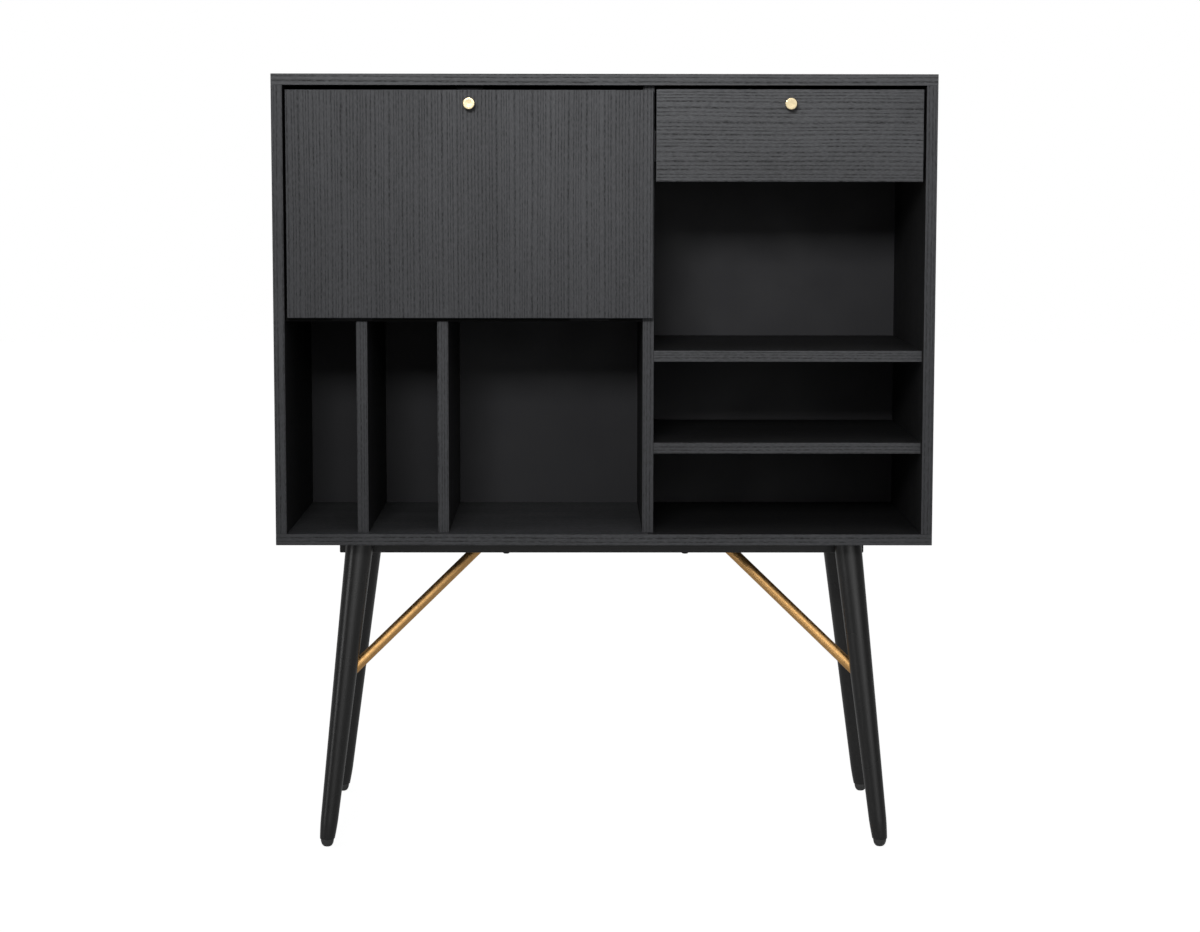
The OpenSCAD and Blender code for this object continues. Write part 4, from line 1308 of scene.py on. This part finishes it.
@dataclass
class PanScrews:
    """Pan head screws with a cross recess, driven upwards.

    Attributes:
        node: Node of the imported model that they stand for.
        finish: Their finish.
        head_h: Height of a head.
        shank_r: Radius of a shank.
        crown: Radius of a head's crown, as a share of the head's radius.
        shoulder: Height at which a head is widest, and depth of its recess, as a share of its height.
        arm: Half length of the recess, as a share of the head's radius.
        web: Half width of the recess, as a share of the head's radius.
        core: Radius at which the turning stops short of the axis.
        count: Points round a screw.
    """

    node: str
    finish: Finish
    head_h: float
    shank_r: float
    crown: float = 0.8
    shoulder: float = 0.6
    arm: float = 0.5
    web: float = 0.13
    core: float = 0.1 * MM
    count: int = 40

    def screw(self, low: Vector, high: Vector) -> Piece:
        """Makes one screw.

        Args:
            low: Lowest corner of its room.
            high: Highest corner of its room.

        Returns:
            The screw.
        """
        head_r = (high.x - low.x) / 2
        middle = (low + high) / 2
        foot = Vector((middle.x, middle.y, low.z))
        length = high.z - low.z
        depth = self.head_h * self.shoulder
        corners = [
            (self.core, 0.0), (head_r * self.crown, 0.0), (head_r, depth), (head_r, self.head_h),
            (self.shank_r, self.head_h), (self.shank_r, length - 2 * self.shank_r), (self.core, length),
        ]
        radii = [0.0, 0.5 * MM, 0.5 * MM, 0.1 * MM, 0.0, 0.3 * MM, 0.0]
        piece = turned("screw", rounded_path(corners, radii), Matrix.Translation(foot), self.count)
        rooms = []
        for across, along in ((self.arm, self.web), (self.web, self.arm)):
            reach = Vector((head_r * across, head_r * along, 0.0))
            rooms.append(slab("recess", foot - reach - UP * MM, foot + reach + UP * depth))
        cut(piece, rooms)
        return piece

    def build(self) -> None:
        """Builds and dresses the screws as one piece."""
        piece = joined(self.node + "_looks", [self.screw(*box) for box in solids(self.node)])
        settle(piece, Body.CARCASS, self.finish, self.node)


@dataclass
class FootGlides:
    """The glides under the legs.

    Attributes:
        height: Height of a glide below its leg.
        sole_r: Radius of its flat sole.
        stem_r: Radius of the stem in the leg.
        steps: Steps from ring to ring on its dome.
        core: Radius at which the turning stops short of the axis.
    """

    height: float = 12 * MM
    sole_r: float = 3.5 * MM
    stem_r: float = 2.5 * MM
    steps: int = 8
    core: float = 0.5 * MM

    def build(self) -> None:
        """Builds and dresses the glides as one piece."""
        glides = []
        for low, high in solids("foot_glides"):
            middle = (low + high) / 2
            bulge = (high.x - low.x) / 2 - self.sole_r
            path = [(self.core, 0.0)]
            for turn in (math.pi / 2 * step / self.steps for step in range(self.steps + 1)):
                path.append((self.sole_r + bulge * math.sin(turn), self.height * (1 - math.cos(turn))))
            path += [(self.stem_r, self.height), (self.stem_r, high.z)]
            glides.append(turned("glide", path, Matrix.Translation((middle.x, middle.y, 0.0))))
        piece = joined("foot_glides_looks", glides)
        settle(piece, Body.CARCASS, GREY_NYLON, "foot_glides")


@dataclass
class Underframe:
    """Rails, legs, braces, glides and their screws.

    Attributes:
        rail_edge: Radius of the rails' edges.
        number: The front rail's number, which shifts its grain; the rear rail follows.
    """

    rail_edge: float = 1.5 * MM
    number: int = 40

    def build(self) -> None:
        """Builds and dresses the underframe."""
        for number, node in enumerate(("front_rail", "rear_rail"), self.number):
            Board(node, Axis.X, RAIL_LACQUER, edge=self.rail_edge, segments=3).build(number)
        legs = [Leg(f"{end}_{side}_leg") for end in ("front", "rear") for side in ("left", "right")]
        for leg in legs:
            leg.build()
        for node, leg in zip(("left_brace", "right_brace"), legs):
            Brace(node, leg).build()
        PanScrews("rail_screws", BLACK_STEEL, head_h=2.4 * MM, shank_r=2.5 * MM).build()
        PanScrews("brace_screws", BRACE_BRASS, head_h=2.2 * MM, shank_r=2 * MM).build()
        FootGlides().build()


class Fittings:
    """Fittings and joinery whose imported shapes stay, with finishes of their own."""

    finishes: dict[Finish, tuple[str, ...]] = {
        DOWEL_WOOD: ("carcass_dowels", "divider_dowels", "shelf_dowels", "drawer_dowels"),
        INSERT_BRASS: ("leg_inserts",),
        ZINC_STEEL: ("leg_bolts", "leg_side_screws", "flap_knob_screw", "drawer_knob_screw",
                     "drawer_front_screws", "stay_guide_plates", "stay_rods", "stay_brackets"),
        BLACK_STEEL: ("flap_fitting_screws", "cabinet_fitting_screws", "catch_screws", "strike_plate",
                      "floor_hinge_leaves", "flap_hinge_leaves", "hinge_pins", "runner_cabinet_screws",
                      "runner_drawer_screws"),
        BLACK_RUNNER: ("runner_cabinet_members", "runner_middle_members", "runner_drawer_members"),
        MAGNET_METAL: ("catch_magnet",),
        BLACK_PLASTIC: ("catch_housing",),
        WHITE_NYLON: ("stay_guide_blocks",),
    }

    def build(self) -> None:
        """Dresses the fittings."""
        for finish, nodes in self.finishes.items():
            for node in nodes:
                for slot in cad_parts[node].material_slots:
                    slot.material = finish.material()
                log.info("%s: keeps its packed shape, %s", node, finish.title)


# Studio


def aimed(turn: float, tilt: float) -> Vector:
    """Returns the direction into the picture, turned to the right and tilted down in radians."""
    return Vector((math.sin(turn) * math.cos(tilt), math.cos(turn) * math.cos(tilt), -math.sin(tilt)))


@dataclass(frozen=True)
class Screen:
    """An upright pale screen in front of the object, seen only as a soft highlight on glossy pieces.

    Attributes:
        turn: Its direction in degrees, to the right of straight ahead.
        half_width: Degrees over which its light fades out to each side.
        glow: Its brightness in the middle.
    """

    turn: float
    half_width: float
    glow: float

    def light(self, tree: Tree, turn: Socket) -> Socket:
        """Returns the socket of its brightness in the direction, in radians, that is looked in."""
        away = tree.math("ABSOLUTE", tree.math("SUBTRACT", turn, math.radians(self.turn)))
        return tree.spread(away, 0.0, math.radians(self.half_width), self.glow, 0.0)


@dataclass
class Studio:
    """Floor, surroundings and the soft main lamp.

    Attributes:
        floor_reach: How far the floor reaches from the middle.
        floor_tone: How pale the floor is under the lamp.
        floor_glow: Its own brightness as the camera sees it.
        floor_mirrored: Its own brightness in glossy pieces.
        key_distance: Distance of the lamp from the cabinet's front.
        key_side: Its direction in degrees to the left.
        key_rise: Its direction in degrees above the level.
        key_size: Its width and height.
        key_power: Its power in watts.
        key_spread: Width of its beam in degrees.
        aim_side: How far to the right of the middle it is aimed.
        aim_above: How far above the top it is aimed.
        ambient: Brightness of the surroundings on the object.
        mirrored: Brightness of the surroundings in glossy pieces.
        screens: Pale screens in front of the object.
    """

    floor_reach: float = 12.0
    floor_tone: float = 0.6
    floor_glow: float = 0.92
    floor_mirrored: float = 0.25
    key_distance: float = 3.6
    key_side: float = 7.2
    key_rise: float = 19.2
    key_size: tuple[float, float] = (0.9, 0.5)
    key_power: float = 4.5
    key_spread: float = 48.0
    aim_side: float = 0.12
    aim_above: float = 0.22
    ambient: float = 0.17
    mirrored: float = 0.15
    screens: tuple[Screen, ...] = (Screen(-60.0, 14.0, 3.4), Screen(16.0, 42.0, 1.8))

    def build(self) -> None:
        """Sets up the floor, the surroundings and the lamp."""
        self.floor()
        self.surroundings()
        self.lamp()
        bpy.context.scene.view_settings.view_transform = "Standard"

    def lamp(self) -> None:
        """Hangs the lamp in front of the cabinet, above it and to the left."""
        low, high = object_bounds()
        two_thirds_up = (low[2] + 2 * high[2]) / 3
        middle = Vector((0.0, low[1], two_thirds_up))
        beam = aimed(math.radians(self.key_side), math.radians(self.key_rise))
        place = middle - beam * self.key_distance
        aim = Vector((self.aim_side, low[1], high[2] + self.aim_above))
        light = bpy.data.lights.new("Main lamp", "AREA")
        light.shape = "RECTANGLE"
        light.size, light.size_y = self.key_size
        light.energy = self.key_power
        light.spread = math.radians(self.key_spread)
        lamp = bpy.data.objects.new("Main lamp", light)
        lamp.location = place
        lamp.rotation_euler = (aim - place).to_track_quat("-Z", "Y").to_euler()
        bpy.context.scene.collection.objects.link(lamp)

    def floor(self) -> None:
        """Lays the pale floor, which shows white, keeps the object's shadow and is clear from below."""
        reach = self.floor_reach
        corners = [(-reach, -reach, 0.0), (reach, -reach, 0.0), (reach, reach, 0.0), (-reach, reach, 0.0)]
        piece = new_piece("studio_floor", corners, [(0, 1, 2, 3)])
        material = bpy.data.materials.new("Pale floor")
        tree = bare_tree(material)
        pale = tree.add("BsdfDiffuse", {"Color": even(self.floor_tone)}).outputs[0]
        path = tree.add("LightPath").outputs
        mirrored = tree.times(path["Is Glossy Ray"], self.floor_mirrored)
        seen = tree.math("MAXIMUM", tree.times(path["Is Camera Ray"], self.floor_glow), mirrored)
        glow = tree.add("Emission", {"Color": WHITE, "Strength": seen}).outputs[0]
        upper = tree.add("AddShader", {0: pale, 1: glow}).outputs[0]
        below = tree.add("NewGeometry").outputs["Backfacing"]
        clear = tree.add("BsdfTransparent").outputs[0]
        both = tree.add("MixShader", {0: below, 1: upper, 2: clear}).outputs[0]
        tree.add("OutputMaterial", {"Surface": both})
        piece.data.materials.append(material)
        piece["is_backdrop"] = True

    def surroundings(self) -> None:
        """Sets white behind the object, dimmer surroundings in front of it and soft ambient light."""
        world = bpy.data.worlds.new("Studio")
        bpy.context.scene.world = world
        tree = bare_tree(world)
        path = tree.add("LightPath").outputs
        way = tree.add("SeparateXYZ", {0: tree.add("TexCoord").outputs["Generated"]}).outputs
        turn = tree.math("ARCTAN2", way["X"], tree.times(way["Y"], -1.0))
        glossy = path["Is Glossy Ray"]
        seen = tree.times(glossy, self.mirrored)
        for screen in self.screens:
            seen = tree.math("MAXIMUM", seen, tree.times(glossy, screen.light(tree, turn)))
        dim = tree.times(tree.math("SUBTRACT", 1.0, glossy), self.ambient)
        shown = tree.math("MAXIMUM", path["Is Camera Ray"], path["Is Transmission Ray"])
        strength = tree.math("MAXIMUM", tree.math("MAXIMUM", seen, dim), shown)
        back = tree.add("Background", {"Color": WHITE, "Strength": strength}).outputs[0]
        tree.add("OutputWorld", {"Surface": back})


@dataclass
class PhotoCamera:
    """The camera that took the photograph.

    Attributes:
        place: Where it stands.
        yaw: Turn to the right in radians.
        pitch: Tilt down in radians.
        roll: Turn round its axis in radians.
        focal: Focal length in pixels of the photograph.
        width: Width of the photograph in pixels.
        sensor: Sensor width in millimetres.
    """

    place: tuple[float, float, float] = (-0.03363, -4.30759, 1.04555)
    yaw: float = 0.0066
    pitch: float = 0.1093
    roll: float = 0.0011
    focal: float = 2719.45
    width: int = 1200
    sensor: float = 36.0

    def build(self) -> None:
        """Sets up the camera."""
        data = bpy.data.cameras.new("Photo camera")
        data.sensor_width = self.sensor
        data.sensor_fit = "HORIZONTAL"
        data.lens = self.focal / self.width * self.sensor
        camera = bpy.data.objects.new("Photo camera", data)
        ahead = aimed(self.yaw, self.pitch)
        right = Vector((math.cos(self.yaw), -math.sin(self.yaw), 0.0))
        up = right.cross(ahead)
        turn = Matrix.Rotation(-self.roll, 3, ahead)
        axes = Matrix((turn @ right, turn @ up, -ahead)).transposed()
        camera.matrix_world = Matrix.Translation(self.place) @ axes.to_4x4()
        bpy.context.scene.collection.objects.link(camera)
        bpy.context.scene.camera = camera


def main() -> None:
    """Builds the camera, the sub-assemblies and the studio."""
    logging.basicConfig(level=logging.INFO, format="%(message)s")
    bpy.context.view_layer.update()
    PhotoCamera().build()
    for assembly in (Carcass(), Flap(), Drawer(), Underframe(), Fittings()):
        assembly.build()
        log.info("%s is done", type(assembly).__name__)
    Studio().build()


if __name__ == "__main__":
    main()
